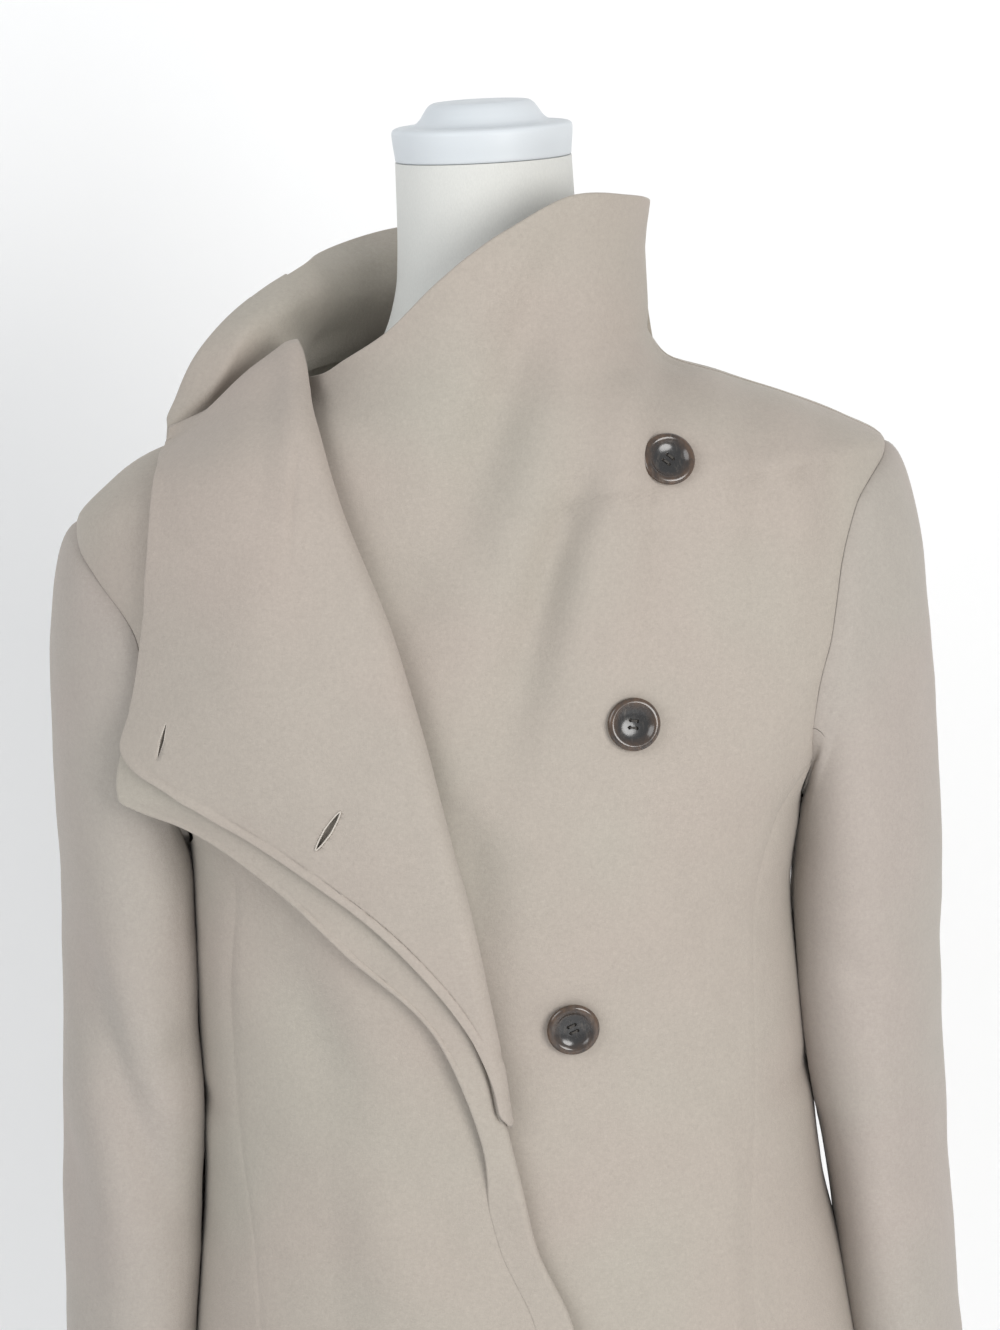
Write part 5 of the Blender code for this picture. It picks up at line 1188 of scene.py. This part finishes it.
BUTTON_TOP = [(10.8, 4.15), (9.8, 3.6), (8.8, 2.9), (7.2, 2.2), (4.5, 1.6), (1.6, 1.35), (0, 1.3)]
for k, (x, z) in enumerate(BUTTONS):
    zu = float(z - sag(x, z))
    t = angle_at(x, zu)
    p = ring_point(t, zu)
    n = ring_normal(p)
    # the cloth's own height here, so the button sits on it
    dist = np.hypot(LEFT_P[..., 0] - x, LEFT_P[..., 2] - float(p[2]))
    i, j = np.unravel_index(np.argmin(dist), dist.shape)
    rise = float(np.dot(LEFT_P[i, j] - p, n))
    seat = p + n * (CLOTH / 2 + BUTTON_SHANK + min(0.6, max(-0.9, rise)))
    prof = [(0, 0), (11.5, 0), (12.6, 0.35), (13.4, 0.95), (13.9, 1.7), (14, 2.3), (13.85, 3.0), (13.3, 3.7), (12.5, 4.15), (11.6, 4.3)] + BUTTON_TOP
    fine = [prof[0]] + rounded(prof[1:-1], 4) + [(0.6, 1.31), prof[-1]]
    ob, M = turned_fine("button_%d" % (k + 1), fine, horn_material(seat + n * 2.0), 72, seat, n)
    turn = 0.25 + 0.5 * k
    holes = [(2.6 * math.cos(turn + q * math.pi / 2), 2.6 * math.sin(turn + q * math.pi / 2)) for q in range(4)]
    bm = bmesh.new()
    for hx, hy in holes:
        bmesh.ops.create_cone(bm, cap_ends=True, segments=20, radius1=0.0009, radius2=0.0009, depth=0.012,
                              matrix=M @ Matrix.Translation((hx * 0.001, hy * 0.001, 0.002)))
    me = bpy.data.meshes.new("cut")
    bm.to_mesh(me)
    bm.free()
    cutter = bpy.data.objects.new("cut", me)
    bpy.context.scene.collection.objects.link(cutter)
    mod = ob.modifiers.new("holes", "BOOLEAN")
    mod.object = cutter
    mod.solver = "EXACT"
    bpy.context.view_layer.update()
    done = bpy.data.meshes.new_from_object(ob.evaluated_get(bpy.context.evaluated_depsgraph_get()))
    ob.modifiers.clear()
    ob.data = done
    bpy.data.objects.remove(cutter, do_unlink=True)
    dress(ob, ["button_%d" % (k + 1)])
    # sewing thread through the holes, and the wound shank under the button
    bm = bmesh.new()
    for a, b2 in ((0, 1), (2, 3)):
        for off in (-0.35, 0.0, 0.35):
            pa, pb = np.array(holes[a]), np.array(holes[b2])
            d2 = (pb - pa) / np.linalg.norm(pb - pa)
            o2 = np.array([-d2[1], d2[0]]) * off
            path = []
            for f in np.linspace(0, 1, 9):
                q = pa + (pb - pa) * f + o2
                lift = 1.5 + 0.5 * math.sin(math.pi * f) ** 0.5 if 0 < f < 1 else 0.8
                path.append(M @ Vector((q[0] * 0.001, q[1] * 0.001, lift * 0.001)))
            tube(bm, path, 0.00026, 6)
    for w in range(5):
        path = [M @ Vector((1.5 * math.cos(q) * 0.001, 1.5 * math.sin(q) * 0.001, (-1.1 + 0.26 * w) * 0.001)) for q in
                np.linspace(0, 2 * math.pi, 15)[:-1]]
        tube(bm, path, 0.0003, 5, True)
    bmesh.ops.recalc_face_normals(bm, faces=bm.faces)
    me = bpy.data.meshes.new("button_thread_%d" % (k + 1))
    bm.to_mesh(me)
    bm.free()
    me.shade_smooth()
    th = add("button_thread_%d" % (k + 1), me, THREAD_DARK)
    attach(th, "root")

# ---------------------------------------------------------------- dress form and stand
FORM_SKIN, nt, b = new_material("form_jersey")
tc = nt.nodes.new("ShaderNodeTexCoord").outputs["Object"]
col = mix_colour(nt, noise(nt, tc, 30.0, 3.0), (0.655, 0.66, 0.63, 1), (0.69, 0.69, 0.66, 1))
k = remap(nt, noise(nt, tc, 1500.0, 2.0, 0.5, (1.0, 1.0, 0.4)), 0.3, 0.7, 0.97, 1.03)
v = nt.nodes.new("ShaderNodeCombineColor")
for c in range(3):
    nt.links.new(k, v.inputs[c])
nt.links.new(mix_colour(nt, 1.0, col, v.outputs[0], "MULTIPLY"), b.inputs["Base Color"])
b.inputs["Roughness"].default_value = 0.75
b.inputs["Sheen Weight"].default_value = 0.1
bump = nt.nodes.new("ShaderNodeBump")
bump.inputs["Strength"].default_value = 0.25
bump.inputs["Distance"].default_value = 0.0003
nt.links.new(noise(nt, tc, 1800.0, 2.0, 0.5, (1.0, 1.0, 0.5)), bump.inputs["Height"])
nt.links.new(bump.outputs["Normal"], b.inputs["Normal"])

CAP_PAINT, nt, b = new_material("cap_paint")
tc = nt.nodes.new("ShaderNodeTexCoord").outputs["Object"]
col = mix_colour(nt, noise(nt, tc, 22.0, 3.0), (0.62, 0.66, 0.69, 1), (0.67, 0.70, 0.725, 1))
nt.links.new(col, b.inputs["Base Color"])
nt.links.new(remap(nt, noise(nt, tc, 60.0, 3.0), 0.3, 0.7, 0.42, 0.55), b.inputs["Roughness"])

STEEL, nt, b = new_material("brushed_steel")
tc = nt.nodes.new("ShaderNodeTexCoord").outputs["Object"]
col = mix_colour(nt, noise(nt, tc, 700.0, 3.0, 0.6, (1, 1, 0.02)), (0.50, 0.50, 0.51, 1), (0.62, 0.62, 0.62, 1))
nt.links.new(col, b.inputs["Base Color"])
b.inputs["Metallic"].default_value = 1.0
nt.links.new(remap(nt, noise(nt, tc, 500.0, 3.0, 0.6, (1, 1, 0.05)), 0.3, 0.7, 0.24, 0.36), b.inputs["Roughness"])

BASE_PAINT, nt, b = new_material("base_enamel")
tc = nt.nodes.new("ShaderNodeTexCoord").outputs["Object"]
col = mix_colour(nt, noise(nt, tc, 18.0, 3.0), (0.66, 0.66, 0.65, 1), (0.70, 0.70, 0.69, 1))
nt.links.new(col, b.inputs["Base Color"])
nt.links.new(remap(nt, noise(nt, tc, 900.0, 2.0), 0.3, 0.7, 0.38, 0.5), b.inputs["Roughness"])

count = 120
rows = []
zs = np.concatenate([np.linspace(760, 766, 5)[:-1], np.linspace(766, 800, 9)[:-1], np.linspace(800, 1290, 60)[:-1],
                     np.linspace(1290, 1420, 52)[:-1], np.linspace(1420, 1480.7, 16)])
w = 2 * math.pi * np.arange(count) / count
for z in zs:
    a, bf, bb = (float(curve(FORM, z, k)) for k in (1, 2, 3))
    s, c = np.sin(w), np.cos(w)
    k = float(smooth(1180, 1390, z))
    x = a * s + (-9.0) * (1 - k)
    y = FORM_CLEAR_AXIS_Y * k - np.where(c > 0, bf, bb) * c
    tilt = SHOULDER_DROP * 0.6 * float(smooth(1150, 1290, z) * (1 - smooth(1340, 1400, z)))
    rows.append(np.stack([x, y, z + tilt * (x + 10)], -1))
rows = np.array(rows)
bm = bmesh.new()
rings = [[bm.verts.new(Vector(q) * 0.001) for q in r] for r in rows]
for lo, hi in zip(rings, rings[1:]):
    for k in range(count):
        m = (k + 1) % count
        bm.faces.new([lo[k], lo[m], hi[m], hi[k]])
for ring in (rings[0], rings[-1]):
    c = bm.verts.new(sum((v.co for v in ring), Vector()) / count)
    for k in range(count):
        bm.faces.new([ring[k], ring[(k + 1) % count], c])
bmesh.ops.recalc_face_normals(bm, faces=bm.faces)
me = bpy.data.meshes.new("form_body")
bm.to_mesh(me)
bm.free()
me.shade_smooth()
me.set_sharp_from_angle(angle=math.radians(50))
dress(add("form_body", me, FORM_SKIN), ["form_body"])

ob, M = turned_fine("neck_cap", [CAP[0]] + rounded(CAP[1:-1], 5) + [CAP[-1]], CAP_PAINT, 120, (0, FORM_CLEAR_AXIS_Y, 0))
dress(ob, ["neck_cap"])
ob, M = turned_fine("stand_pole", [(0, BASE_T + 0.3), (POLE_R, BASE_T + 0.3), (POLE_R, 759.7), (0, 759.7)], STEEL, 96, (0, FORM_CLEAR_AXIS_Y, 0))
dress(ob, ["stand_pole"])
ob, M = turned_fine("stand_base", [BASE[0], BASE[1], (BASE_R - 1.2, 0.9), (BASE_R - 0.3, 2.0), BASE[2], BASE[3], (BASE_R - 0.8, 10.8),
                                   (BASE_R - 2.2, 12.3), BASE[4], (BASE_R - 20, 15.2), BASE[5], (90, 19.3), BASE[6], BASE[7], BASE[8]],
                    BASE_PAINT, 160, (0, FORM_CLEAR_AXIS_Y, 0))
dress(ob, ["stand_base"])

# ---------------------------------------------------------------- the cut of each piece of cloth: width, length, area
CUT = {}
for name, P in PIECES.items():
    width = max(float(np.nansum(np.linalg.norm(np.diff(P[i], axis=0), axis=-1))) for i in range(0, len(P), 5)) * 0.001
    long = max(float(np.nansum(np.linalg.norm(np.diff(P[:, j], axis=0), axis=-1))) for j in range(0, P.shape[1], 5)) * 0.001
    CUT[name] = (round(width, 3), round(long, 3), round(mid_area(P), 4))
print("CUT", json.dumps(CUT))
for name, (width, long, area) in CUT.items():
    on = {"coat_facing_right": ["coat_front_right"], "coat_collar_back": ["coat_back"]}.get(name, ["form_body"])
    on = ["coat_back", "coat_front_left" if "left" in name else "coat_front_right"] if name.startswith("sleeve") else on
